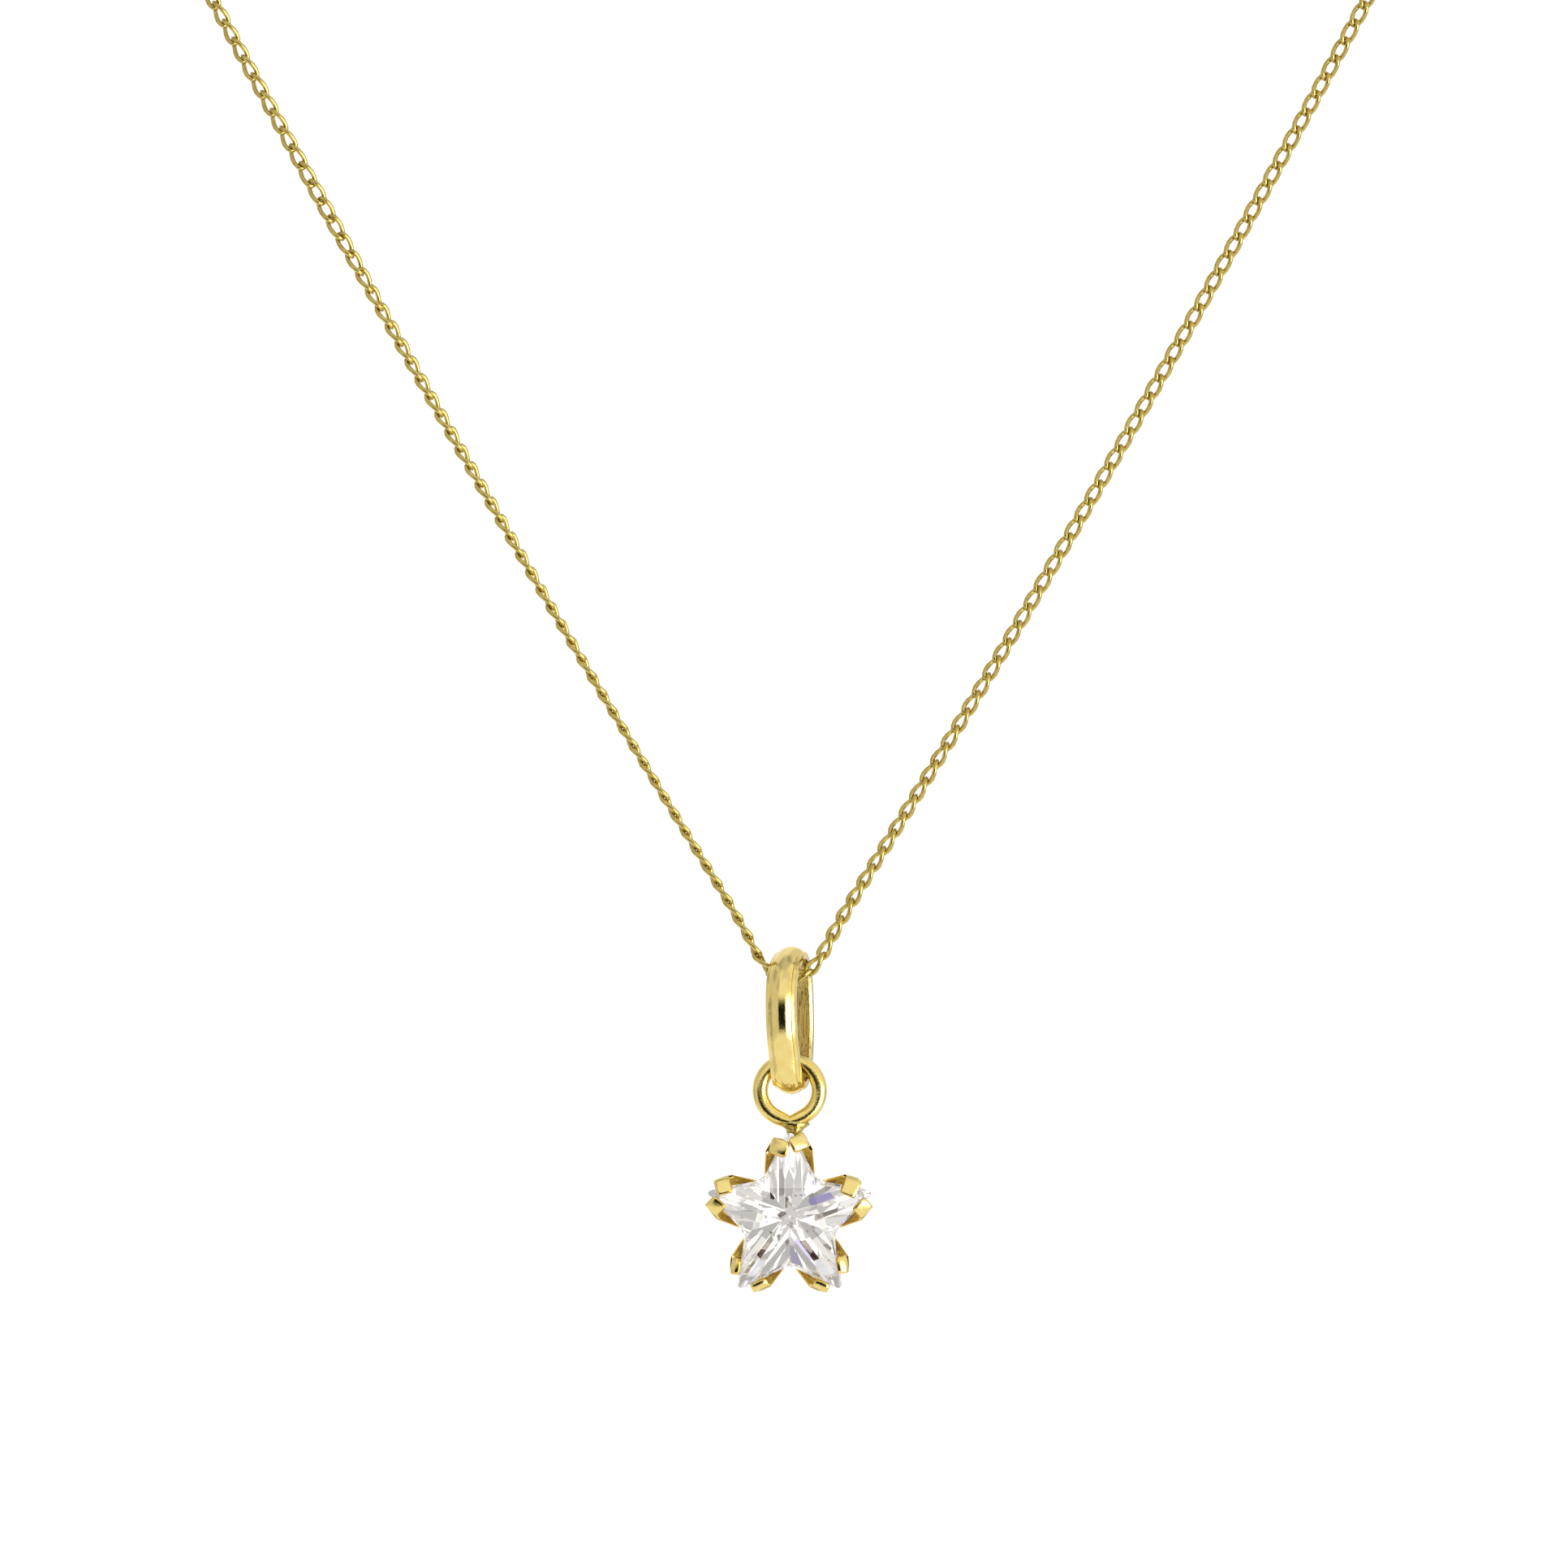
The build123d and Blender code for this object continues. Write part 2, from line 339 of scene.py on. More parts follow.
def publish(
    mesh_work: bmesh.types.BMesh,
    name: str,
    body: Body,
    nodes: Sequence[str],
    materials: Sequence[bpy.types.Material],
    sharp_angle: float = 35.0,
) -> bpy.types.Object:
    """Turn a finished bmesh into an object that rides on its body.

    Args:
        mesh_work: The shape, in metres and in place. It is freed here.
        name: Name of the piece.
        body: Body that it rides on.
        nodes: CAD nodes that it stands for.
        materials: Its materials, in the order of its faces' material numbers.
        sharp_angle: Edges that turn more than this many degrees stay crisp.

    Returns:
        The new object.
    """
    limit = math.radians(sharp_angle)
    for face in mesh_work.faces:
        face.smooth = True
    for edge in mesh_work.edges:
        if len(edge.link_faces) == 2 and edge.calc_face_angle() > limit:
            edge.smooth = False
    mesh = bpy.data.meshes.new(name)
    mesh_work.to_mesh(mesh)
    mesh_work.free()
    piece = bpy.data.objects.new(name, mesh)
    bpy.context.scene.collection.objects.link(piece)
    for material in materials:
        mesh.materials.append(material)
    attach(piece, body.value)
    if nodes:
        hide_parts(*nodes)
    triangles = sum(len(polygon.vertices) - 2 for polygon in mesh.polygons)
    LOG.info("%s rides on %s, %d triangles", name, body.value, triangles)
    return piece


def facing(origin: Vector) -> Matrix:
    """Frame that lies against the pendant's face.

    Args:
        origin: Its origin, in metres.

    Returns:
        Matrix whose x is to the right, y is up and z is towards the viewer, in millimetres.
    """
    turn = Matrix(((1, 0, 0), (0, 0, -1), (0, 1, 0))).to_4x4()
    return Matrix.Translation(origin) @ turn @ Matrix.Scale(MM, 4)


def spin_wire(
    mesh_work: bmesh.types.BMesh,
    centre: Vector,
    radius: float,
    wire: float,
    sides: int,
    stations: int,
    upright: bool = False,
) -> None:
    """Add a ring of round wire, flat or upright.

    Args:
        mesh_work: Mesh that gets the ring.
        centre: Middle of the ring.
        radius: Radius of its centreline.
        wire: Thickness of the wire.
        sides: Sides of the wire's section.
        stations: Sections round the ring.
        upright: Whether the ring faces along Y. Otherwise it faces along Z.
    """
    place = Matrix.Translation(centre + Vector((radius, 0, 0)))
    if not upright:
        place = place @ Matrix.Rotation(math.pi / 2, 4, "X")
    section = bmesh.ops.create_circle(mesh_work, segments=sides, radius=wire / 2, matrix=place)["verts"]
    edges = list(dict.fromkeys(edge for vertex in section for edge in vertex.link_edges))
    bmesh.ops.spin(
        mesh_work,
        geom=section + edges,
        cent=centre,
        axis=(0, 1, 0) if upright else (0, 0, 1),
        angle=2 * math.pi,
        steps=stations,
        use_merge=True,
    )


@dataclass
class CurbChain:
    """Neck chain of twisted curb links, with a jump ring at each end."""

    finish: GoldFinish
    pitch: float = 1.0
    wire: float = 0.24
    link_width: float = 0.8
    end_twist: float = -55.0
    fullness: float = 0.65
    link_stations: int = 16
    wire_sides: int = 6
    play: float = 0.05
    jump_ring_radius: float = 0.875
    jump_ring_wire: float = 0.25
    jump_ring_x: float = 2.45
    jump_ring_sides: int = 10
    jump_ring_stations: int = 32
    neck_centre_y: float = -41.0
    # Roll of the links in degrees at distances from the bottom of the V, in millimetres.
    right_rolls: tuple[tuple[float, float], ...] = (
        (0.0, 52.0),
        (10.0, 52.0),
        (26.0, 40.0),
        (40.0, 36.0),
        (60.0, 36.0),
        (190.0, 0.0),
        (200.0, 45.0),
    )
    left_rolls: tuple[tuple[float, float], ...] = (
        (0.0, 80.0),
        (3.0, 100.0),
        (12.0, 100.0),
        (38.0, 80.0),
        (50.0, 0.0),
        (190.0, 0.0),
        (200.0, 45.0),
    )
    roll_jitter: float = 3.0
    # The jitter's noise: how far it moves on from link to link, and the row that it is read along.
    jitter_step: float = 1.7
    jitter_row: float = 0.3
    route_fineness: int = 24
    sharp_angle: float = 75.0

    def route(self) -> list[Vector]:
        """Draw the chain's smooth line.

        Returns:
            Its points in millimetres, from the right of the clasp to its left.
        """
        points = [Vector(point) for point in ROUTE_HALF_MM]
        points += [Vector((-point.x, point.y, point.z)) for point in reversed(points)]
        curve = bpy.data.curves.new("chain_route", "CURVE")
        curve.dimensions = "3D"
        spline = curve.splines.new("NURBS")
        spline.points.add(len(points) - 1)
        for target, point in zip(spline.points, points):
            target.co = (*point, 1.0)
        spline.order_u = 3
        spline.use_endpoint_u = True
        spline.resolution_u = self.route_fineness
        holder = bpy.data.objects.new("chain_route", curve)
        bpy.context.scene.collection.objects.link(holder)
        bpy.context.view_layer.update()
        line = bpy.data.meshes.new_from_object(holder.evaluated_get(bpy.context.evaluated_depsgraph_get()))
        found = [vertex.co.copy() for vertex in line.vertices]
        bpy.data.objects.remove(holder)
        bpy.data.curves.remove(curve)
        bpy.data.meshes.remove(line)
        return found

    def link(self, mesh_work: bmesh.types.BMesh) -> list[bmesh.types.BMVert]:
        """Add one twisted link at the origin, long in x, and face-on along z.

        Args:
            mesh_work: Empty mesh that gets the link.

        Returns:
            The link's vertices.
        """
        spin_wire(mesh_work, Vector((0, 0, 0)), 1.0, self.wire, self.wire_sides, self.link_stations)
        found = mesh_work.verts[:]
        half_length = (self.pitch + self.wire + self.play) / 2
        half_width = (self.link_width - self.wire) / 2
        twist = math.radians(self.end_twist)

        def centre(angle: float) -> Vector:
            """Find a point of the link's centreline.

            Args:
                angle: Angle round the link.

            Returns:
                The point.
            """
            lean = twist * math.cos(angle)
            reach = half_width * math.copysign(abs(math.sin(angle)) ** self.fullness, math.sin(angle))
            return Vector((half_length * math.cos(angle), reach * math.cos(lean), reach * math.sin(lean)))

        step = 1e-3
        for vertex in found:
            angle = math.atan2(vertex.co.y, vertex.co.x)
            out = vertex.co.xy.length - 1
            up = vertex.co.z
            along = (centre(angle + step) - centre(angle - step)).normalized()
            lean = twist * math.cos(angle)
            face = Vector((0, -math.sin(lean), math.cos(lean)))
            side = along.cross(face).normalized()
            vertex.co = centre(angle) + side * out + side.cross(along) * up
        return found

    def roll_at(self, distance: float) -> float:
        """Find how far the chain's face is rolled.

        Args:
            distance: Distance from the bottom of the V, negative on the left.

        Returns:
            The roll in degrees.
        """
        table = self.right_rolls if distance >= 0 else self.left_rolls
        distance = abs(distance)
        for (start, low), (end, high) in zip(table, table[1:]):
            if distance <= end:
                share = (distance - start) / (end - start)
                return low + (high - low) * share * share * (3 - 2 * share)
        return table[-1][1]

    def build(self) -> bpy.types.Object:
        """Make the whole chain as one piece.

        Returns:
            The chain's object.
        """
        line = self.route()
        lengths = [0.0]
        for start, end in zip(line, line[1:]):
            lengths.append(lengths[-1] + (end - start).length)
        total = lengths[-1]
        first = self.jump_ring_x + self.jump_ring_radius - (self.jump_ring_wire + self.wire) / 2
        inset = first + (self.pitch + self.wire) / 2 - ROUTE_HALF_MM[0][0]
        count = round((total - 2 * inset) / self.pitch) + 1
        spacing = (total - 2 * inset) / (count - 1)
        mesh_work = bmesh.new()
        template = self.link(mesh_work)
        pattern = template + mesh_work.edges[:] + mesh_work.faces[:]
        place = 0
        for number in range(count):
            distance = inset + number * spacing
            while lengths[place + 1] < distance:
                place += 1
            share = (distance - lengths[place]) / (lengths[place + 1] - lengths[place])
            point = line[place].lerp(line[place + 1], share)
            along = (line[min(place + 2, len(line) - 1)] - line[max(place - 1, 0)]).normalized()
            outward = Vector((point.x, point.y - self.neck_centre_y, 0.0))
            outward = (outward - along * outward.dot(along)).normalized()
            roll = self.roll_at(total / 2 - distance)
            roll += self.roll_jitter * noise.noise(Vector((number * self.jitter_step, self.jitter_row, 0.0)))
            turned = Matrix.Rotation(math.radians(roll), 4, "X")
            across = outward.cross(along)
            frame_matrix = Matrix((along, across, outward)).transposed().to_4x4()
            matrix = Matrix.Translation(point) @ frame_matrix @ turned
            if number == count - 1:
                bmesh.ops.transform(mesh_work, matrix=matrix, verts=template)
            else:
                copy = bmesh.ops.duplicate(mesh_work, geom=pattern)["geom"]
                verts = [item for item in copy if isinstance(item, bmesh.types.BMVert)]
                bmesh.ops.transform(mesh_work, matrix=matrix, verts=verts)
        for side in (-1, 1):
            end = Vector((side * self.jump_ring_x, 0, 0))
            sides, stations = self.jump_ring_sides, self.jump_ring_stations
            spin_wire(mesh_work, end, self.jump_ring_radius, self.jump_ring_wire, sides, stations)
        bmesh.ops.recalc_face_normals(mesh_work, faces=mesh_work.faces)
        bmesh.ops.scale(mesh_work, vec=(MM, MM, MM), verts=mesh_work.verts)
        LOG.info("chain of %d links on a line %.1f mm long, pitch %.3f mm", count, total, spacing)
        return publish(
            mesh_work,
            "neck_chain",
            Body.NECKLACE,
            ["chain"],
            [self.finish.build()],
            sharp_angle=self.sharp_angle,
        )


@dataclass
class Clasp:
    """Plain ring at the nape."""

    finish: GoldFinish
    radius: float = 2.2
    wire: float = 0.9
    sides: int = 20
    stations: int = 64

    def build(self) -> bpy.types.Object:
        """Make the ring in its upright plane.

        Returns:
            The clasp's object.
        """
        mesh_work = bmesh.new()
        middle = Vector((0, 0, 0))
        spin_wire(mesh_work, middle, self.radius, self.wire, self.sides, self.stations, upright=True)
        bmesh.ops.recalc_face_normals(mesh_work, faces=mesh_work.faces)
        bmesh.ops.scale(mesh_work, vec=(MM, MM, MM), verts=mesh_work.verts)
        return publish(
            mesh_work, "clasp_ring", Body.NECKLACE, ["clasp"], [self.finish.build()]
        )


def skin(
    mesh_work: bmesh.types.BMesh,
    rings: Sequence[Sequence[Vector]],
    closed_path: bool = False,
    number: int = 0,
) -> None:
    """Join rows of points into a skin that closes round each row.

    Args:
        mesh_work: Mesh that gets the skin.
        rings: Rows of equally many points, each row round the section of one station.
        closed_path: Whether the last row meets the first. Otherwise both ends are capped.
        number: Material number of its faces.
    """
    rows = len(rings)
    columns = len(rings[0])
    across = rows if closed_path else rows - 1
    grid = bmesh.ops.create_grid(mesh_work, x_segments=columns, y_segments=across, size=0.5)["verts"]
    for vertex in grid:
        column = round((vertex.co.x + 0.5) * columns) % columns
        row = round((vertex.co.y + 0.5) * across) % rows
        vertex.co = rings[row][column]
    for vertex in grid:
        for face in vertex.link_faces:
            face.material_index = number
    bmesh.ops.remove_doubles(mesh_work, verts=grid, dist=WELD)
    if not closed_path:
        kept = [vertex for vertex in grid if vertex.is_valid]
        rim = list(dict.fromkeys(e for vertex in kept for e in vertex.link_edges if e.is_boundary))
        caps = bmesh.ops.holes_fill(mesh_work, edges=rim, sides=0)["faces"]
        for face in caps:
            face.material_index = number


def smooth_loop(points: Sequence[tuple[float, float]], count: int) -> list[Vector]:
    """Closed smooth line through points of a plane.

    Args:
        points: The points, in order.
        count: Number of points to return, evenly spaced in the points' own numbering.

    Returns:
        Points of a periodic cubic line.
    """
    corners = [Vector(point) for point in points]
    size = len(corners)
    spans = [(corners[(i + 1) % size] - corners[i]).length for i in range(size)]
    system = numpy.zeros((size, size))
    change = numpy.zeros((size, 2))
    for i in range(size):
        before, after = spans[i - 1], spans[i]
        system[i, i - 1] += after
        system[i, i] += 2 * (before + after)
        system[i, (i + 1) % size] += before
        rise_before = (corners[i] - corners[i - 1]) * (after / before)
        rise_after = (corners[(i + 1) % size] - corners[i]) * (before / after)
        change[i] = 3 * (rise_before + rise_after)
    slopes = [Vector(slope) for slope in numpy.linalg.solve(system, change)]
    line = []
    for step in range(count):
        place = step * size / count
        i = int(place)
        t = place - i
        start, end = corners[i], corners[(i + 1) % size]
        leave, reach = slopes[i] * spans[i], slopes[(i + 1) % size] * spans[i]
        line.append(
            start * (2 * t**3 - 3 * t**2 + 1)
            + leave * (t**3 - 2 * t**2 + t)
            + end * (3 * t**2 - 2 * t**3)
            + reach * (t**3 - t**2)
        )
    return line


@dataclass
class Bail:
    """Domed band that hangs the drop on the chain, turned a little to the left."""

    finish: GoldFinish
    inner_finish: GoldFinish
    centre: tuple[float, float, float] = (0.16, -75.66, -114.27)
    yaw: float = 15.0
    line_depth: float = 3.58
    line_height: float = 6.6
    width: float = 1.51
    wall: float = 0.7
    edge_height: float = 0.48
    rim: float = 0.2
    rim_fall: float = 0.05
    # Depths of the left and the right groove, and how far their sides spread for each unit of depth.
    grooves: tuple[float, float] = (0.006, 0.03)
    groove_spread: tuple[float, float] = (0.6, 1.2)
    groove_width: float = 0.012
    rim_round: float = 0.07
    # Shares of the rim's rounding and of its fall that its in-between points take.
    rim_ease: tuple[float, float] = (0.3, 0.1)
    chamfer: tuple[float, float] = (0.12, 0.08)
    dome_points: int = 13
    stations: int = 140
    edge_wave: float = 0.012
    edge_waves_round: float = 6.0
    # Rows of the noise that the left and the right edge follow.
    edge_rows: tuple[float, float] = (7.1, 1.7)
    # A face of the band's inside leans less than this towards either rim, as a cosine.
    inside_lean: float = 0.7
    sharp_angle: float = 24.0
    # Side view: points along the middle of the wall, as shares of its depth and of its height.
    outline: tuple[tuple[float, float], ...] = (
        (-0.042, 0.5),
        (-0.319, 0.464),
        (-0.542, 0.379),
        (-0.647, 0.242),
        (-0.656, 0.061),
        (-0.589, -0.129),
        (-0.464, -0.295),
        (-0.342, -0.44),
        (-0.115, -0.5),
        (0.12, -0.44),
        (0.272, -0.295),
        (0.336, -0.091),
        (0.32, 0.136),
        (0.222, 0.348),
    )

    def rim_points(self, groove: float) -> list[tuple[float, float]]:
        """Find the points of the right rim, from the dome's edge to the band's inside.

        Args:
            groove: Depth of the groove between the dome and the rim.

        Returns:
            The points as (out, across).
        """
        half = self.width / 2
        dome_half = half - self.rim
        low = -self.wall / 2
        rim_top = low + self.edge_height
        outer = rim_top - self.rim_fall
        ease = self.rim_round * self.rim_ease[0]
        near, far = self.groove_spread
        return [
            (rim_top - groove, dome_half + groove * near),
            (rim_top - self.rim_fall * self.rim_ease[1], dome_half + self.groove_width + groove * far),
            (outer, half - self.rim_round),
            (outer - ease, half - ease),
            (outer - self.rim_round, half),
            (low + self.chamfer[1], half),
            (low, half - self.chamfer[0]),
        ]

    def section(self, turn: float) -> list[tuple[float, float]]:
        """Section of the band, clockwise from the left end of its dome.

        Args:
            turn: Angle round the band, which sets the small waves in the dome's edges.

        Returns:
            The section's points as (out, across).
        """
        dome_half = self.width / 2 - self.rim
        low = -self.wall / 2
        crest = self.wall / 2
        place = Vector((math.cos(turn), math.sin(turn), 0.0)) * self.edge_waves_round
        left, right = (
            dome_half + self.edge_wave * noise.noise(place + Vector((0.0, 0.0, row)))
            for row in self.edge_rows
        )
        rise = crest - low - self.edge_height
        radius = (dome_half**2 + rise**2) / (2 * rise)
        points = []
        for step in range(self.dome_points):
            share = 2 * step / (self.dome_points - 1) - 1
            fall = radius - math.sqrt(radius**2 - (share * dome_half) ** 2)
            points.append((crest - fall, share * (right if share > 0 else left)))
        left_rim, right_rim = (self.rim_points(groove) for groove in self.grooves)
        return points + right_rim + [(low, 0.0)] + [(out, -across) for out, across in reversed(left_rim)]

    def build(self) -> bpy.types.Object:
        """Make the bail.

        Returns:
            The bail's object.
        """
        sizes = [(deep * self.line_depth, high * self.line_height) for deep, high in self.outline]
        line = smooth_loop(sizes, self.stations)
        yaw = math.radians(self.yaw)
        back = Vector((math.sin(yaw), math.cos(yaw), 0.0))
        across = Vector((math.cos(yaw), -math.sin(yaw), 0.0))
        up = Vector((0.0, 0.0, 1.0))
        rings = []
        for i, point in enumerate(line):
            ahead = line[(i + 1) % len(line)] - line[i - 1]
            ahead.normalize()
            outward = Vector((-ahead.y, ahead.x))
            if outward.dot(point) < 0:
                outward.negate()
            turn = 2 * math.pi * i / len(line)
            middle = Vector(self.centre) + back * point.x + up * point.y
            normal = back * outward.x + up * outward.y
            rings.append([middle + normal * out + across * side for out, side in self.section(turn)])
        mesh_work = bmesh.new()
        skin(mesh_work, rings, closed_path=True)
        bmesh.ops.recalc_face_normals(mesh_work, faces=mesh_work.faces)
        middle = Vector(self.centre)
        # The band's inside takes the scratched gold, with painted shade in its lines.
        for face in mesh_work.faces:
            faces_in = face.normal.dot(middle - face.calc_center_median()) > 0
            if faces_in and abs(face.normal.dot(across)) < self.inside_lean:
                face.material_index = 1
        bmesh.ops.scale(mesh_work, vec=(MM, MM, MM), verts=mesh_work.verts)
        return publish(
            mesh_work,
            "bail_band",
            Body.BAIL,
            ["bail"],
            [self.finish.build(), self.inner_finish.build()],
            sharp_angle=self.sharp_angle,
        )


@dataclass
class StarCut:
    """Sizes of the star stone that its setting follows too, in the star's own plane."""

    centre: tuple[float, float, float] = (0.0, -77.0, -124.007)
    tips: int = 5
    tip_radius: float = 4.2
    tip_half_width: float = 0.25
    tip_round_length: float = 0.2
    notch_radius: float = 2.4
    notch_fill: float = 0.1
    girdle: float = 0.25
    pavilion: float = 2.6

    def half_turn(self) -> float:
        """Half the angle between two tips."""
        return math.pi / self.tips

    def shoulder(self) -> tuple[float, float]:
        """Corner beside the tip, as (along, across)."""
        return (self.tip_radius - self.tip_round_length, self.tip_half_width)

    def sharp_notch(self) -> tuple[float, float]:
        """Place where the straight edges would meet."""
        radius = self.notch_radius - self.notch_fill
        return (radius * math.cos(self.half_turn()), radius * math.sin(self.half_turn()))

    def edge_angle(self) -> float:
        """Angle between an arm's edge and its axis."""
        shoulder, notch = self.shoulder(), self.sharp_notch()
        return math.atan2(notch[1] - shoulder[1], shoulder[0] - notch[0])

    def edge_distance(self) -> float:
        """Distance of the straight edges from the centre."""
        (along, across), slant = self.shoulder(), self.edge_angle()
        return along * math.sin(slant) + across * math.cos(slant)

    def on_arm(self, arm: float, along: float, across: float, height: float = 0.0) -> Vector:
        """Point of the star's plane.

        Args:
            arm: Number of the arm, counter-clockwise from the top.
            along: Distance along the arm from the centre.
            across: Distance from the arm's axis, counter-clockwise.
            height: Height over the girdle's front edge, towards the viewer.

        Returns:
            The point as (right, up, height).
        """
        angle = math.pi / 2 + arm * 2 * self.half_turn()
        return Vector(
            (
                along * math.cos(angle) - across * math.sin(angle),
                along * math.sin(angle) + across * math.cos(angle),
                height,
            )
        )


@dataclass(frozen=True)
class Claw:
    """One claw: where it stands and how far it folds over the stone.

    place is the distance along the arm at which its middle crosses the stone's edge. reach is how
    far its tab goes in over the edge, lift how high its bend stands, lean its turn in degrees.
    """

    arm: int
    side: int
    place: float
    reach: float
    width: float = 0.86
    lift: float = 0.3
    slope: float = 20.0
    lean: float = 0.0


CLAWS = (
    Claw(0, 1, 3.5, 0.42, 0.84, lean=12.0),
    Claw(0, -1, 3.72, 0.36, 0.8, lift=0.4, lean=-4.0),
    Claw(1, -1, 3.58, 0.36, 0.82, slope=16.0, lean=6.0),
    Claw(1, 1, 3.62, 0.26, 0.84, slope=24.0),
    Claw(2, -1, 3.36, 0.0, 0.88, lift=0.24),
    Claw(2, 1, 3.42, 0.04, 0.9, lift=0.24),
    Claw(3, -1, 3.48, 0.04, 0.84, lift=0.24),
    Claw(3, 1, 3.28, 0.12, 0.9, lift=0.24),
    Claw(4, -1, 3.52, 0.22, 0.86, slope=26.0),
    Claw(4, 1, 3.36, 0.5, 0.84, slope=15.0, lean=-14.0),
)


@dataclass
class StarSetting:
    """Star-shaped cup with ten claws, soldered to the loop ring."""

    finish: GoldFinish
    solder_finish: GoldFinish
    # Darker copy of the gold for the inside of the cup: painted shade.
    seat_painted_shade: GoldFinish
    ring_finish: GoldFinish
    cut: StarCut = field(default_factory=StarCut)
    claws: tuple[Claw, ...] = CLAWS
    wall: float = 0.2
    wall_soft: float = 0.04
    # How far along its claw's width each end of a wall stands.
    wall_end: float = 0.36
    seat_gap: float = 0.08
    flare: float = 22.4
    rise: float = 0.15
    culet_gap: float = 0.15
    gallery_thickness: float = 0.25
    gallery_bore: float = 0.7
    # Corners along one side of a notch: arms on, side, and share of the way to the notch.
    gallery_corners: tuple[tuple[int, int, float], ...] = (
        (0, 1, 0.33),
        (0, 1, 0.67),
        (0, 1, 1.0),
        (1, -1, 0.67),
        (1, -1, 0.33),
    )
    # Faces that look inwards by more than this cosine, or lie within this many bores of the
    # middle, take the darker gold of painted shade.
    seat_lean: float = 0.1
    seat_bores: float = 2.0
    notch_cut: float = 1.15
    wall_steps: int = 14
    wall_lean: float = 0.1
    # The wall's top climbs out of the notch by this share of its length, and by this power.
    wall_climb: tuple[float, float] = (0.5, 1.15)
    claw_thickness: float = 0.2
    claw_root: float = -1.7
    claw_curl: float = 0.07
    claw_dome: float = 0.028
    tab_round: float = 0.22
    # How much of a full rounding the tab's corners take, and its nose's least thickness squared.
    tab_round_share: float = 0.85
    nose_least: float = 0.06
    # Share of the dome's height at a claw's root.
    root_dome: float = 0.4
    # Stations of a claw's tab, as distances from its tip.
    tab_rests: tuple[float, ...] = (0.6, 0.45, 0.32, 0.22, 0.14, 0.08, 0.045, 0.02, 0.005, 0.0)
    # Share of the way up a claw's leg at which its path has a point, and the share of the tab's
    # length that its stations may take.
    leg_middle: float = 0.45
    tab_share: float = 0.92
    # Section of a claw: share of its half width, and of its half thickness outwards.
    claw_section: tuple[tuple[float, float], ...] = (
        (-0.9, -1.0),
        (-1.0, -0.5),
        (-1.0, 0.1),
        (-0.96, 0.6),
        (-0.86, 0.9),
        (-0.6, 1.0),
        (-0.3, 1.0),
        (0.0, 1.0),
        (0.3, 1.0),
        (0.6, 1.0),
        (0.86, 0.9),
        (0.96, 0.6),
        (1.0, 0.1),
        (1.0, -0.5),
        (0.9, -1.0),
    )
    bend_radius: float = 0.16
    bend_steps: int = 8
    ring_centre: tuple[float, float, float] = (0.0, -76.0, -117.72)
    ring_bore: float = 1.077
    ring_wire: float = 0.76
    ring_point: float = 29.0
    ring_squareness: float = 2.4
    ring_stations: int = 96
    ring_sides: int = 32
    # Rows of the solder about the ring's centre: up, half width, half depth, right and front.
    solder_rows: tuple[tuple[float, float, float, float, float], ...] = (
        (-1.3, 0.3, 0.22, 0.02, 0.0),
        (-1.42, 0.56, 0.34, 0.06, 0.0),
        (-1.56, 0.78, 0.39, 0.12, 0.0),
        (-1.68, 0.82, 0.41, 0.2, 0.0),
        (-1.78, 0.66, 0.4, 0.23, 0.0),
        (-1.88, 0.5, 0.36, 0.25, 0.0),
        (-1.98, 0.42, 0.34, 0.25, 0.0),
        (-2.08, 0.39, 0.34, 0.22, -0.02),
    )
    # The solder's foot: height over the star's centre and depth behind it.
    solder_foot: tuple[float, float] = (3.65, 1.3)
    # Rows of its neck: up from the foot, half width, half depth, right, and share of the foot's
    # way back.
    neck_rows: tuple[tuple[float, float, float, float, float], ...] = (
        (0.25, 0.36, 0.34, 0.1, 0.6),
        (0.0, 0.34, 0.34, 0.0, 1.0),
    )
    # Lumps in the solder: height, how many a millimetre, and where in the noise they lie.
    solder_lumps: tuple[tuple[float, float, tuple[float, float, float]], ...] = (
        (0.05, 3.1, (3.0, 0.0, 5.0)),
        (0.02, 9.0, (0.0, 0.0, 0.0)),
    )
    solder_sides: int = 28
    sharp_angle: float = 40.0

    def share(self, height: float, extra: float = 0.0) -> float:
        """Find the scale of the star's outline that gives the cup's wall.

        Args:
            height: Height on the wall.
            extra: Distance out from the wall's inner side.

        Returns:
            The scale.
        """
        offset = self.seat_gap + (height + self.cut.girdle) * math.tan(math.radians(self.flare))
        return 1 + (offset + extra) / self.cut.edge_distance()

    def floor_height(self) -> float:
        """Height of the cup's floor."""
        return -self.cut.girdle - self.cut.pavilion - self.culet_gap

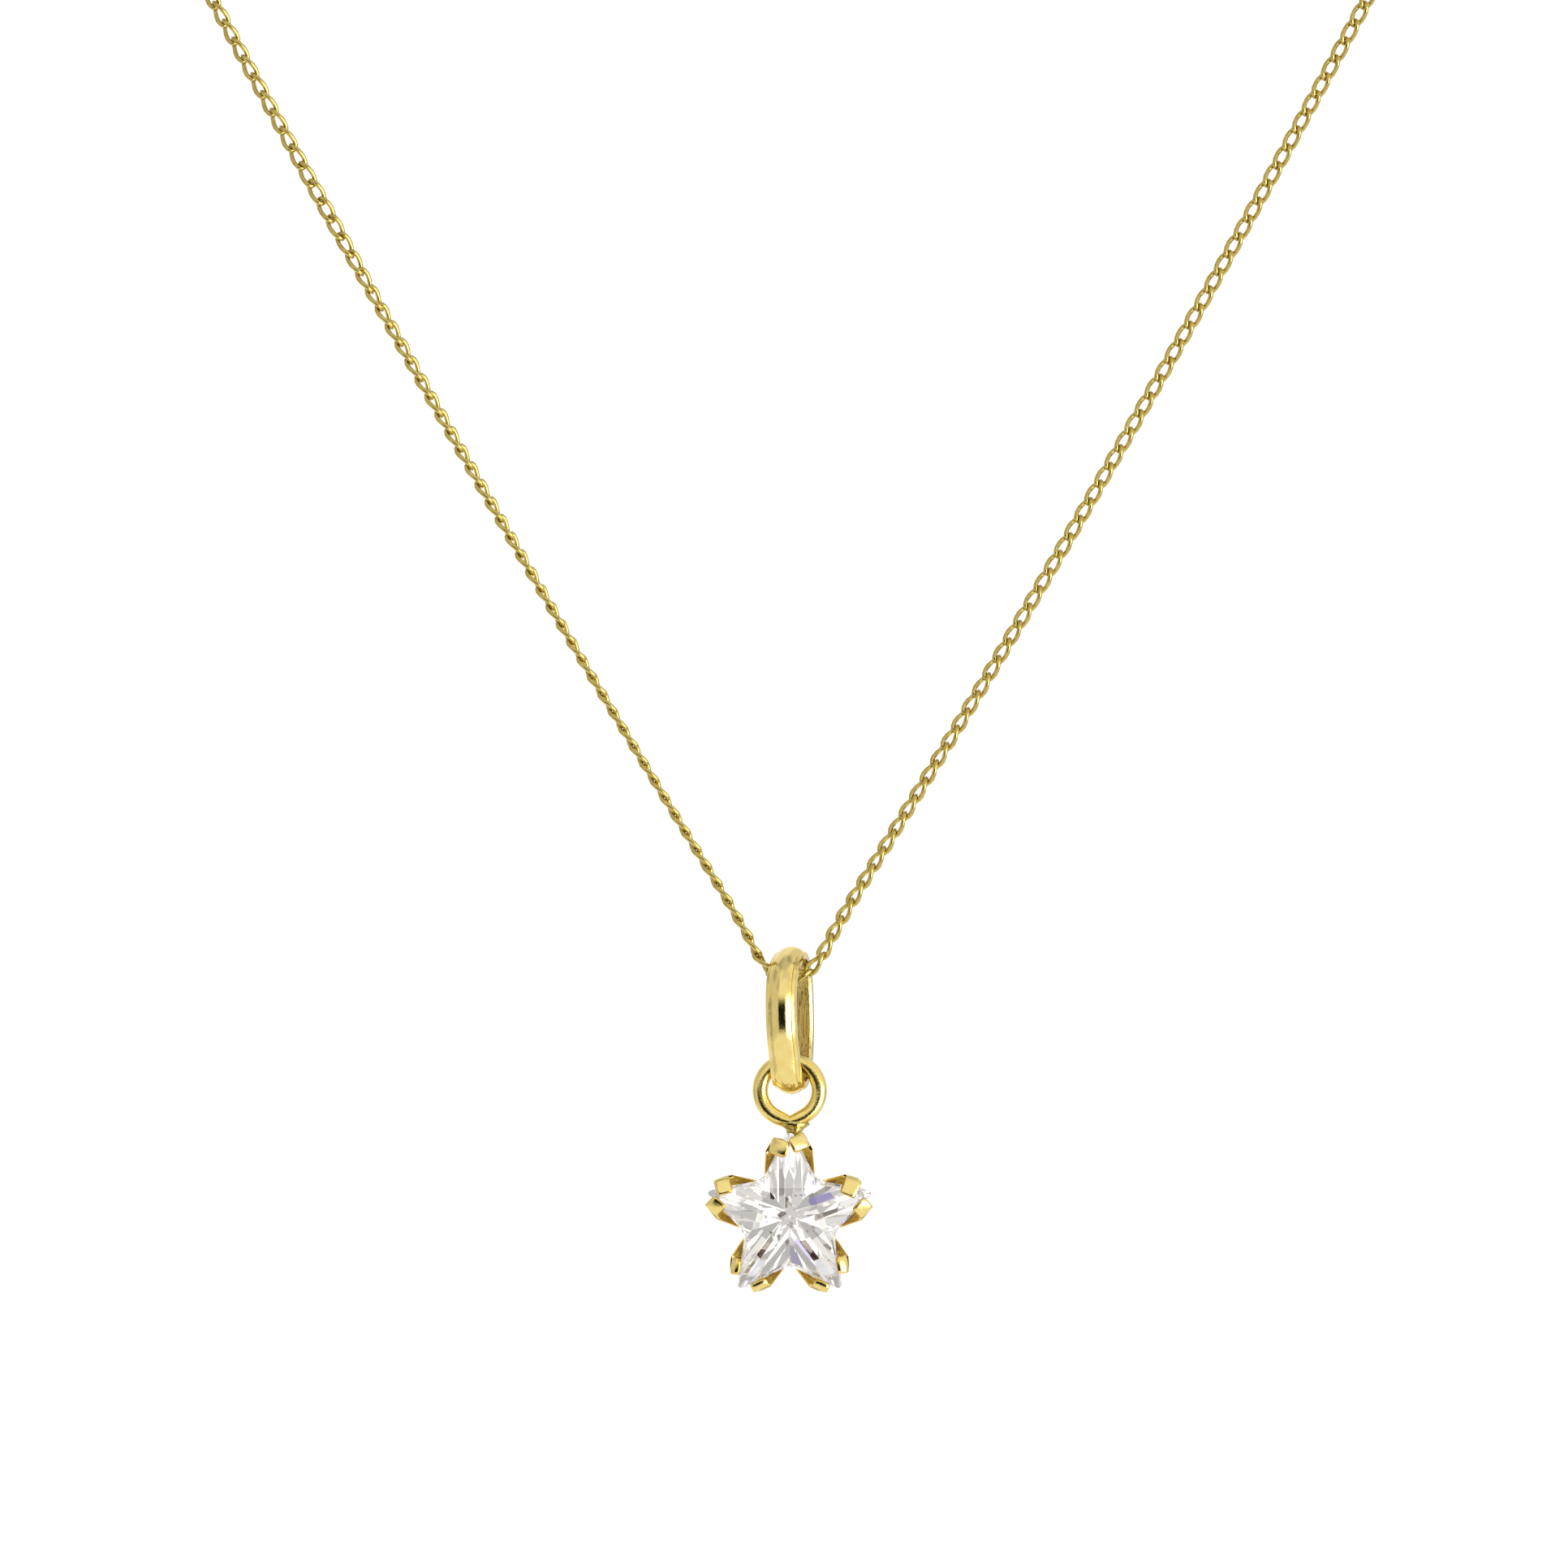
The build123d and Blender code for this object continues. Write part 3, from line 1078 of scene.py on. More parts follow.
    def wall_round_notch(self, mesh_work: bmesh.types.BMesh, notch: int) -> None:
        """Add the wall from one claw round a notch to the next.

        Args:
            mesh_work: Mesh that gets the wall, in the star's plane.
            notch: Number of the arm that lies clockwise of the notch.
        """
        cut = self.cut
        sharp = Vector(cut.sharp_notch())
        slant = math.tan(cut.edge_angle())
        shoulder = cut.shoulder()
        ends = []
        for arm, side in ((notch, 1), (notch + 1, -1)):
            claw = next(claw for claw in self.claws if claw.arm == arm % cut.tips and claw.side == side)
            along = claw.place + claw.width * self.wall_end
            start = Vector((along, shoulder[1] + (shoulder[0] - along) * slant))
            stations = []
            for step in range(self.wall_steps):
                share = step / self.wall_steps
                point = start.lerp(sharp, share)
                stations.append((arm, point.x, side * point.y, 1 - share))
            ends.append(stations)
        rings = []
        low = self.floor_height()
        soft = self.wall_soft
        length, power = self.wall_climb
        deepest = (notch + 0.5, cut.notch_radius, 0.0, 0.0)
        for arm, along, across, away in ends[0] + [deepest] + ends[1][::-1]:
            climb = min(1.0, away / length) ** power
            top = -self.notch_cut + (self.notch_cut + self.rise) * climb
            lean = self.wall_lean * 4 * away * (1 - away)
            corners = []
            for extra, height in (
                (0.0, low),
                (0.0, (low + top) / 2),
                (lean, top - soft),
                (lean + soft, top),
                (lean + self.wall - soft, top),
                (lean + self.wall, top - soft),
                (self.wall, (low + top) / 2),
                (self.wall, low),
            ):
                size = self.share(height, extra)
                spot = cut.on_arm(arm, along * size, across * size, height)
                if size > 1:
                    edge = cut.edge_angle()
                    way = cut.on_arm(arm, math.cos(edge), -math.copysign(math.sin(edge), across))
                    spot -= way * way.dot(cut.on_arm(arm, along, across)) * (size - 1) * away
                corners.append(spot)
            rings.append(corners)
        skin(mesh_work, rings)

    def gallery(self, mesh_work: bmesh.types.BMesh) -> None:
        """Add the cup's floor, with its round bore.

        Args:
            mesh_work: Mesh that gets the floor, in the star's plane.
        """
        cut = self.cut
        size = self.share(self.floor_height(), self.wall)
        outline = []
        for arm in range(cut.tips):
            shoulder, sharp = cut.shoulder(), cut.sharp_notch()
            outline.append(cut.on_arm(arm, shoulder[0] * size, -shoulder[1] * size))
            outline.append(cut.on_arm(arm, shoulder[0] * size, shoulder[1] * size))
            for turn, side, share in self.gallery_corners:
                along = shoulder[0] + (sharp[0] - shoulder[0]) * share
                across = shoulder[1] + (sharp[1] - shoulder[1]) * share
                outline.append(cut.on_arm(arm + turn, along * size, side * across * size))
        top = self.floor_height()
        bottom = top - self.gallery_thickness
        rings = []
        for outer in outline:
            inner = outer.normalized() * self.gallery_bore
            places = ((outer, top), (outer, bottom), (inner, bottom), (inner, top))
            rings.append([Vector((place.x, place.y, height)) for place, height in places])
        skin(mesh_work, rings, closed_path=True)

    def claw_path(self, claw: Claw) -> tuple[list[Vector], list[float]]:
        """Draw a claw's middle line in its own plane: up the wall, round the bend and out to its tip.

        Args:
            claw: The claw's place and form.

        Returns:
            The points as (outwards, height), and for each the length left to the tip, which is
            endless before the tab.
        """
        girdle, half_thick = self.cut.girdle, self.claw_thickness / 2
        flare = math.tan(math.radians(self.flare))
        root, bend = (
            Vector((self.seat_gap + (height + girdle) * flare + half_thick, height))
            for height in (self.claw_root, claw.lift)
        )
        climb = (bend.x + claw.reach) * math.tan(math.radians(claw.slope))
        end = Vector((-claw.reach, claw.lift + climb))
        into, out = (bend - root).normalized(), (end - bend).normalized()
        turn = into.angle(out)
        back_off = self.bend_radius * math.tan(turn / 2)
        start = bend - into * back_off
        finish = bend + out * back_off
        centre = start + Vector((-into.y, into.x)) * self.bend_radius
        path = [root, root.lerp(bend, self.leg_middle), start]
        for step in range(1, self.bend_steps):
            path.append(centre + Matrix.Rotation(turn * step / self.bend_steps, 2) @ (start - centre))
        path.append(finish)
        left = [math.inf] * len(path)
        tab = (end - finish).length
        for rest in self.tab_rests:
            if rest < tab * self.tab_share:
                share = 1 - rest / tab
                path.append(finish.lerp(end, share) - Vector((0, self.claw_curl * share * share)))
                left.append((end - path[-1]).dot(out))
        return path, left

    def claw(self, mesh_work: bmesh.types.BMesh, claw: Claw) -> None:
        """Add one claw, bent over the stone's edge.

        Args:
            mesh_work: Mesh that gets the claw, in the star's plane.
            claw: Its place and form.
        """
        cut = self.cut
        slant = cut.edge_angle()
        shoulder = cut.shoulder()
        edge = shoulder[1] + (shoulder[0] - claw.place) * math.tan(slant)
        base = cut.on_arm(claw.arm, claw.place, claw.side * edge)
        turn = Matrix.Rotation(math.radians(claw.lean), 3, "Z")
        normal = turn @ cut.on_arm(claw.arm, math.sin(slant), claw.side * math.cos(slant))
        along = turn @ cut.on_arm(claw.arm, math.cos(slant), -claw.side * math.sin(slant))
        up = Vector((0, 0, 1))
        thick = self.claw_thickness
        path, lefts = self.claw_path(claw)
        last = len(path) - 1
        rings = []
        for i, (point, left) in enumerate(zip(path, lefts)):
            ahead = (path[min(i + 1, last)] - path[max(i - 1, 0)]).normalized()
            outer = Vector((ahead.y, -ahead.x))
            half = claw.width / 2
            if left < self.tab_round:
                bite = (self.tab_round - left) / self.tab_round
                taken = self.tab_round * (1 - math.sqrt(max(0.0, 1 - bite**2)))
                half -= taken * self.tab_round_share
            half_thick = thick / 2
            if left < half_thick:
                half_thick *= math.sqrt(max(self.nose_least, 1 - (1 - left / half_thick) ** 2))
            grown = self.root_dome + (1 - self.root_dome) * i / last
            dome = self.claw_dome * grown * half_thick * 2 / thick
            ring = []
            for share, height in self.claw_section:
                deep = height * half_thick + (dome * (1 - share**2) if height > 0 else 0.0)
                spot = point + outer * deep
                ring.append(base + normal * spot.x + up * spot.y + along * share * half)
            rings.append(ring)
        skin(mesh_work, rings)

    def ring_radii(self, angle: float) -> tuple[float, float]:
        """Find the loop ring's radii, whose bore comes to a point below.

        Args:
            angle: Angle from the ring's lowest point.

        Returns:
            The inner and the outer radius.
        """
        point = math.radians(self.ring_point)
        inner = self.ring_bore
        if abs(angle) < point:
            inner /= math.cos(point - abs(angle))
        return inner, self.ring_bore + self.ring_wire

    def loop_ring(self, mesh_work: bmesh.types.BMesh) -> None:
        """Add the ring, in millimetres, facing the viewer about its own centre.

        Args:
            mesh_work: Mesh that gets the ring.
        """
        square = self.ring_squareness
        rings = []
        for station in range(self.ring_stations):
            angle = 2 * math.pi * station / self.ring_stations
            low = angle if angle < math.pi else angle - 2 * math.pi
            inner, outer = self.ring_radii(low)
            centre = (inner + outer) / 2
            half = (outer - inner) / 2
            spoke = Vector((math.sin(low), -math.cos(low), 0.0))
            row = []
            for side in range(self.ring_sides):
                round_angle = 2 * math.pi * side / self.ring_sides
                cosine, sine = math.cos(round_angle), math.sin(round_angle)
                swell = (abs(cosine) ** square + abs(sine) ** square) ** (-1 / square)
                front = self.ring_wire / 2 * sine * swell
                row.append(spoke * (centre + half * cosine * swell) + Vector((0, 0, front)))
            rings.append(row)
        skin(mesh_work, rings, closed_path=True, number=3)

    def solder(self, mesh_work: bmesh.types.BMesh) -> None:
        """Add the lumpy solder and the neck down to the cup, about the ring's centre.

        Args:
            mesh_work: Mesh that gets the solder.
        """
        foot = Vector(self.cut.centre) - Vector(self.ring_centre)
        foot_up = foot.z + self.solder_foot[0]
        foot_front = -foot.y - self.solder_foot[1]
        neck = tuple(
            (foot_up + up, half_width, half_depth, right, foot_front * share)
            for up, half_width, half_depth, right, share in self.neck_rows
        )
        rings = []
        for up, half_width, half_depth, right, front in self.solder_rows + neck:
            row = []
            for side in range(self.solder_sides):
                angle = 2 * math.pi * side / self.solder_sides
                cosine, sine = math.cos(angle), math.sin(angle)
                spot = Vector((right + half_width * cosine, up, front + half_depth * sine))
                swell = 0.0
                for height, rate, shift in self.solder_lumps:
                    swell += height * noise.noise(spot * rate + Vector(shift))
                row.append(spot + Vector((cosine, 0.0, sine)) * swell)
            rings.append(row)
        skin(mesh_work, rings, number=1)

    def build(self) -> bpy.types.Object:
        """Make the cup, claws, ring and solder as one piece.

        Returns:
            The setting's object.
        """
        mesh_work = bmesh.new()
        for notch in range(self.cut.tips):
            self.wall_round_notch(mesh_work, notch)
        self.gallery(mesh_work)
        for claw in self.claws:
            self.claw(mesh_work, claw)
        bmesh.ops.transform(mesh_work, matrix=facing(Vector(self.cut.centre) * MM), verts=mesh_work.verts)
        bmesh.ops.recalc_face_normals(mesh_work, faces=mesh_work.faces)
        # Painted shade: faces inside the cup and round its bore take the darker gold, number 2.
        middle = Vector(self.cut.centre) * MM
        for face in mesh_work.faces:
            away = face.calc_center_median() - middle
            away.y = 0
            looks_in = face.normal.dot(away.normalized()) < -self.seat_lean
            if looks_in or away.length < self.gallery_bore * self.seat_bores * MM:
                face.material_index = 2
        placed = set(mesh_work.verts)
        self.loop_ring(mesh_work)
        self.solder(mesh_work)
        added = [vertex for vertex in mesh_work.verts if vertex not in placed]
        bmesh.ops.transform(mesh_work, matrix=facing(Vector(self.ring_centre) * MM), verts=added)
        bmesh.ops.recalc_face_normals(mesh_work, faces=mesh_work.faces)
        finishes = (self.finish, self.solder_finish, self.seat_painted_shade, self.ring_finish)
        return publish(
            mesh_work,
            "setting",
            Body.DROP,
            ["star_setting"],
            [finish.build() for finish in finishes],
            sharp_angle=self.sharp_angle,
        )


@dataclass
class StarStone:
    """Clear stone: a table, two crown steps, a girdle, and long keeled facets under each arm."""

    finish: ZirconiaFinish
    # Backings of the facets under the stone, which paint glow, reflections and shade into them.
    painted_light_backings: tuple[PaintedLightBacking, ...]
    cut: StarCut = field(default_factory=StarCut)
    # Crown planes along the edges: (inset, height) pairs that each plane passes through.
    crown: tuple[tuple[float, float], ...] = ((0.0, 0.0), (0.1, 0.3), (0.24, 0.5))
    # The table covers a pentagon of this inner radius. Past it each arm falls by so many degrees.
    table_radius: float = 1.5
    table_fall: float = 6.0
    # Long facets under each arm, from its keel outwards: width across the arm and slope in degrees.
    strips: tuple[tuple[float, float], ...] = ((0.25, 30.0), (0.35, 38.0), (0.4, 46.0), (0.8, 54.0))
    keel_tilt: float = 28.7
    keel_depth: float = 2.34
    # Cuts across the long facets: distance along the arm, and lean as they leave the keel.
    cross_cuts: tuple[tuple[float, float], ...] = (
        (0.3, 0.9),
        (0.6, 0.7),
        (0.95, -0.4),
        (1.35, 0.5),
        (1.85, -0.5),
        (2.4, 0.3),
        (3.0, -0.3),
    )
    # Facets with another backing, 3 painted shade, 2 a painted grey reflection and 4 a painted lilac
    # reflection: number of the backing, and places right and up from the centre.
    patches: tuple[tuple[int, tuple[tuple[float, float], ...]], ...] = (
        (3, ((-1.05, 1.18), (1.07, -1.71), (-1.2, -1.66))),
        (
            2,
            (
                (-1.34, 1.71),
                (-0.86, -0.75),
                (-0.09, 0.7),
                (1.65, 0.17),
                (0.0, -2.15),
                (-2.2, -0.93),
                (-1.34, 0.12),
                (0.59, 2.24),
                (-1.0, -1.3),
                (0.8, -1.4),
                (0.25, 0.35),
                (-0.32, 0.2),
                (0.15, -0.42),
                (2.2, 0.3),
            ),
        ),
        (4, ((1.94, 0.99), (1.45, 0.84), (0.52, 1.08), (1.07, 1.86))),
    )
    # Small facet under each arm beside the centre: how much it takes off the depth, and its slope.
    centre_facet: tuple[float, float] = (0.2, 17.0)
    notch_round: float = 0.45
    notch_segments: int = 4
    # Drift of the long facets from one notch to the next: degrees of slope and share of width.
    slope_drift: float = 4.0
    width_drift: float = 0.5
    # The drift's noise: its start, how far it moves on by notch and by strip, and the widths' row.
    drift_start: tuple[float, float, float] = (0.3, 0.0, 0.4)
    drift_steps: tuple[float, float] = (1.9, 2.7)
    width_row: float = 5.0
    tip_round: float = 0.36
    tip_turns: tuple[float, ...] = (-48.0, -24.0, 0.0, 24.0, 48.0)
    tip_undercut: float = 0.5
    # A facet whose normal's height is below this lies on the underside.
    underside: float = -0.3
    # Points closer than this become one, and facets that turn less than so many degrees join.
    weld: float = 1e-4
    flat_angle: float = 0.2
    # Slack of the cuts, and the cosine past which a face lies along one of an arm's inner sides.
    cut_slack: float = 1e-6
    along_side: float = 0.9999
    # Block that each arm is cut from.
    block_centre: tuple[float, float, float] = (0.0, 2.5, -1.5)
    block_size: tuple[float, float, float] = (8.0, 5.0, 6.0)
    sharp_angle: float = 0.5

    def planes(self, arm: int) -> list[tuple[Vector, Vector]]:
        """Facet planes of one arm.

        Args:
            arm: Number of the arm, counter-clockwise from the top.

        Returns:
            A point and the outward normal of each plane, with the arm along +Y.
        """
        cut = self.cut
        slant = cut.edge_angle()
        top = self.crown[-1][1]
        fall = math.radians(self.table_fall)
        found = [
            (Vector((0, 0, top)), Vector((0, 0, 1))),
            (Vector((0, self.table_radius, top)), Vector((0, math.sin(fall), math.cos(fall)))),
        ]
        for side in (-1, 1):
            across = Vector((side * math.cos(slant), math.sin(slant), 0))
            edge = across * cut.edge_distance()
            found.append((edge, across))
            for (inset, height), (next_inset, next_height) in zip(self.crown, self.crown[1:]):
                climb = across * (next_height - height)
                normal = (climb + Vector((0, 0, next_inset - inset))).normalized()
                found.append((edge - across * inset + Vector((0, 0, height)), normal))
            rise = math.tan(math.radians(self.keel_tilt))
            start, height = 0.0, -cut.girdle - self.keel_depth
            notch = (arm if side < 0 else arm - 1) % cut.tips
            x, y, z = self.drift_start
            notch_step, strip_step = self.drift_steps
            for i, (width, slope) in enumerate(self.strips):
                spot = Vector((notch * notch_step + x, i * strip_step + y, z))
                steep = math.tan(math.radians(slope + self.slope_drift * noise.noise(spot)))
                width *= 1 + self.width_drift * noise.noise(spot + Vector((0.0, 0.0, self.width_row)))
                normal = Vector((side * steep, rise, -1.0)).normalized()
                found.append((Vector((side * start, 0, height)), normal))
                start += width
                height += width * steep
        shallow, slope = self.centre_facet
        lean = math.radians(slope)
        point = Vector((0, 0, shallow - cut.girdle - self.keel_depth))
        found.append((point, Vector((0, math.sin(lean), -math.cos(lean)))))
        for turn in self.tip_turns:
            way = Vector((math.sin(math.radians(turn)), math.cos(math.radians(turn)), 0))
            tip = Vector((0, cut.tip_radius - self.tip_round, 0)) + way * self.tip_round
            under = (way - Vector((0, 0, self.tip_undercut))).normalized()
            found += [(tip, way), (tip - Vector((0, 0, cut.girdle)), under)]
        return found

    def build(self) -> bpy.types.Object:
        """Cut each arm from a block, and join the arms round the centre.

        Returns:
            The stone's object.
        """
        cut = self.cut
        mesh_work = bmesh.new()
        for arm in range(cut.tips):
            self.cut_arm(mesh_work, arm)
        bmesh.ops.remove_doubles(mesh_work, verts=mesh_work.verts, dist=self.weld)
        limit = math.radians(self.flat_angle)
        bmesh.ops.dissolve_limit(
            mesh_work, angle_limit=limit, verts=mesh_work.verts, edges=mesh_work.edges
        )
        bmesh.ops.recalc_face_normals(mesh_work, faces=mesh_work.faces)
        self.round_notches(mesh_work)
        self.split_strips(mesh_work)
        # Painted light: the facets of the underside take the glowing mirror backing.
        under = [face for face in mesh_work.faces if face.normal.z < self.underside]
        for face in under:
            face.material_index = 1
        # Painted reflections and shade: the facet nearest each listed place takes its row's backing.
        for number, places in self.patches:
            for place in places:
                nearest = min(under, key=lambda face: (face.calc_center_median().xy - Vector(place)).length)
                nearest.material_index = number
        bmesh.ops.transform(mesh_work, matrix=facing(Vector(cut.centre) * MM), verts=mesh_work.verts)
        return publish(
            mesh_work,
            "stone",
            Body.DROP,
            ["star_stone"],
            [finish.build() for finish in (self.finish, *self.painted_light_backings)],
            sharp_angle=self.sharp_angle,
        )

    def cut_arm(self, mesh_work: bmesh.types.BMesh, arm: int) -> None:
        """Cut one arm and turn it to its place.

        Args:
            mesh_work: Mesh that gets the arm, open on its two inner sides.
            arm: Number of the arm, counter-clockwise from the top.
        """
        half = self.cut.half_turn()
        placed = set(mesh_work.verts)
        bmesh.ops.create_cube(
            mesh_work,
            size=1.0,
            matrix=Matrix.Translation(self.block_centre) @ Matrix.Diagonal((*self.block_size, 1.0)),
        )
        sector = [
            (Vector((0, 0, 0)), Vector((side * math.cos(half), -math.sin(half), 0))) for side in (-1, 1)
        ]
        for point, normal in self.planes(arm) + sector:
            verts = [vertex for vertex in mesh_work.verts if vertex not in placed]
            edges = [edge for edge in mesh_work.edges if edge.verts[0] not in placed]
            faces = [face for face in mesh_work.faces if face.verts[0] not in placed]
            cut_edges = bmesh.ops.bisect_plane(
                mesh_work,
                geom=verts + edges + faces,
                plane_co=point,
                plane_no=normal,
                clear_outer=True,
                dist=self.cut_slack,
            )["geom_cut"]
            rim = [item for item in cut_edges if isinstance(item, bmesh.types.BMEdge)]
            if rim:
                bmesh.ops.holes_fill(mesh_work, edges=rim, sides=0)
        inside = [
            face
            for face in mesh_work.faces
            if face.verts[0] not in placed
            and any(abs(face.normal.dot(normal)) > self.along_side for _, normal in sector)
            and abs(face.calc_center_median().dot(face.normal)) < self.weld
        ]
        bmesh.ops.delete(mesh_work, geom=inside, context="FACES")
        verts = [vertex for vertex in mesh_work.verts if vertex not in placed]
        turn = Matrix.Rotation(arm * 2 * half, 3, "Z")
        bmesh.ops.rotate(mesh_work, verts=verts, cent=(0, 0, 0), matrix=turn)

    def split_strips(self, mesh_work: bmesh.types.BMesh) -> None:
        """Split the long lower facets crosswise, in chevrons about each keel.

        Args:
            mesh_work: The whole stone, in the star's plane.
        """
        cut = self.cut
        spread = math.tan(cut.half_turn())
        for arm, side, (place, lean) in product(range(cut.tips), (-1, 1), self.cross_cuts):
            faces = []
            for face in mesh_work.faces:
                middle = face.calc_center_median()
                along = middle.dot(cut.on_arm(arm, 1, 0))
                across = middle.dot(cut.on_arm(arm, 0, side))
                if face.normal.z < self.underside and 0 < across < along * spread:
                    faces.append(face)
            edges = list(dict.fromkeys(edge for face in faces for edge in face.edges))
            verts = list(dict.fromkeys(vertex for face in faces for vertex in face.verts))
            bmesh.ops.bisect_plane(
                mesh_work,
                geom=verts + edges + faces,
                plane_co=cut.on_arm(arm, place, 0),
                plane_no=cut.on_arm(arm, 1, side * lean),
                dist=WELD,
            )

    def round_notches(self, mesh_work: bmesh.types.BMesh) -> None:
        """Round the five inner corners of the crown and girdle.

        Args:
            mesh_work: The whole stone, in the star's plane.
        """
        cut = self.cut
        far = cut.notch_radius - cut.notch_fill
        near = far - self.crown[-1][0] / math.cos(math.pi / 2 - cut.half_turn() - cut.edge_angle())
        slack, slack_below, least_climb = 0.02, 0.12, 0.05
        inner = []
        for edge in mesh_work.edges:
            ends = [vertex.co for vertex in edge.verts]
            at_notch = all(near - slack < end.xy.length < far + slack for end in ends)
            above = all(end.z > -cut.girdle - slack_below for end in ends)
            if at_notch and above and abs(ends[0].z - ends[1].z) > least_climb:
                inner.append(edge)
        LOG.info("stone has %d inner corner edges", len(inner))
        bmesh.ops.bevel(
            mesh_work,
            geom=inner,
            offset=self.notch_round,
            offset_type="OFFSET",
            affect="EDGES",
            segments=self.notch_segments,
            profile=0.5,
            material=-1,
        )


@dataclass(frozen=True)
class LightPatch:
    """Soft-edged patch of the studio's surroundings, placed in degrees.

    An azimuth of 0 lies behind the camera, and 90 to its right.
    """

    azimuth: float
    elevation: float
    half_width: float
    half_height: float
    soft: float
    strength: float
    colour: str = "#FFFFFF"


@dataclass
class Studio:
    """White tent round the pendant, the floor below it and the long-lens camera."""

    frame_width: float = 77.28
    frame_centre: tuple[float, float, float] = (-0.28, -77.0, -102.6)
    camera_distance: float = 600.0
    sensor: float = 36.0
    # The camera sees what lies between these two distances.
    clip: tuple[float, float] = (10.0, 10000.0)
    floor_drop: float = 300.0
    floor_radius: float = 600.0
    floor_sides: int = 96
    tent: float = 1.15
    backdrop: float = 1.05
    patches: tuple[LightPatch, ...] = (
        LightPatch(-8, -12, 26, 14, 6, -1.14),
        LightPatch(45, -11, 23, 15, 5, 4.2),
        LightPatch(-75, 0, 42, 70, 14, -0.3),
        LightPatch(-38, 24, 9, 12, 5, -0.36, "#C8E8A0"),
        LightPatch(10, 48, 22, 14, 3, -0.22, "#FFFBE8"),
        LightPatch(-22, -44, 14, 12, 3, -0.26, "#F4FBF0"),
        LightPatch(34, -58, 18, 11, 3, -0.22, "#FFFDF4"),
        LightPatch(44, 36, 12, 12, 3, -0.2, "#F4FBF0"),
        LightPatch(-80, 34, 16, 12, 4, -0.3, "#F4FBF0"),
        LightPatch(0, 76, 180, 16, 6, -0.42, "#FFFBE8"),
        LightPatch(130, 0, 34, 80, 12, -0.25),
        LightPatch(-135, 0, 30, 80, 12, -0.12),
        LightPatch(96, -8, 11, 11, 5, -0.5),
        LightPatch(-98, -8, 11, 11, 5, -0.35),
        LightPatch(176, -10, 18, 12, 6, -0.6),
    )

    def camera(self) -> None:
        """Set the camera at the photograph's angle."""
        data = bpy.data.cameras.new("long_lens")
        data.sensor_width = self.sensor
        data.lens = self.sensor * self.camera_distance / self.frame_width
        data.clip_start, data.clip_end = (distance * MM for distance in self.clip)
        camera = bpy.data.objects.new("long_lens", data)
        x, y, z = self.frame_centre
        camera.location = Vector((x, y - self.camera_distance, z)) * MM
        camera.rotation_euler = (math.pi / 2, 0, 0)
        bpy.context.scene.collection.objects.link(camera)
        bpy.context.scene.camera = camera

    def floor(self) -> None:
        """Lay the pale floor below the pendant."""
        mesh_work = bmesh.new()
        height = CAD_BOX[0].z - self.floor_drop * MM
        bmesh.ops.create_circle(
            mesh_work,
            cap_ends=True,
            segments=self.floor_sides,
            radius=self.floor_radius * MM,
            matrix=Matrix.Translation((0, 0, height)),
        )
        mesh = bpy.data.meshes.new("floor")
        mesh_work.to_mesh(mesh)
        mesh_work.free()
        mesh.materials.append(PaperFinish().build())
        floor = bpy.data.objects.new("floor", mesh)
        bpy.context.scene.collection.objects.link(floor)

    def patch_light(
        self, tree: bpy.types.NodeTree, angles: Sequence[bpy.types.NodeSocket], patch: LightPatch
    ) -> bpy.types.NodeSocket:
        """Draw one soft-edged patch.

        Args:
            tree: Node tree that gets it.
            angles: Azimuth and elevation of the way looked in.
            patch: Its place, size, strength and colour.

        Returns:
            The light that it adds, or takes away.
        """
        window = None
        sizes = ((patch.azimuth, patch.half_width), (patch.elevation, patch.half_height))
        for angle, (middle, half) in zip(angles, sizes):
            off = add_node(
                tree, "ShaderNodeMath", {0: angle, 1: math.radians(middle)}, operation="SUBTRACT"
            ).outputs[0]
            off = add_node(tree, "ShaderNodeMath", {0: off}, operation="ABSOLUTE").outputs[0]
            edge = add_node(
                tree,
                "ShaderNodeMapRange",
                {
                    "Value": off,
                    "From Min": math.radians(half + patch.soft),
                    "From Max": math.radians(half - patch.soft),
                    "To Min": 0.0,
                    "To Max": 1.0 if window is None else patch.strength,
                },
                interpolation_type="SMOOTHSTEP",
            ).outputs["Result"]
            if window is not None:
                edge = add_node(
                    tree, "ShaderNodeMath", {0: window, 1: edge}, operation="MULTIPLY"
                ).outputs[0]
            window = edge
        return add_node(
            tree,
            "ShaderNodeVectorMath",
            {0: linear_colour(patch.colour)[:3], "Scale": window},
            operation="SCALE",
        ).outputs[0]

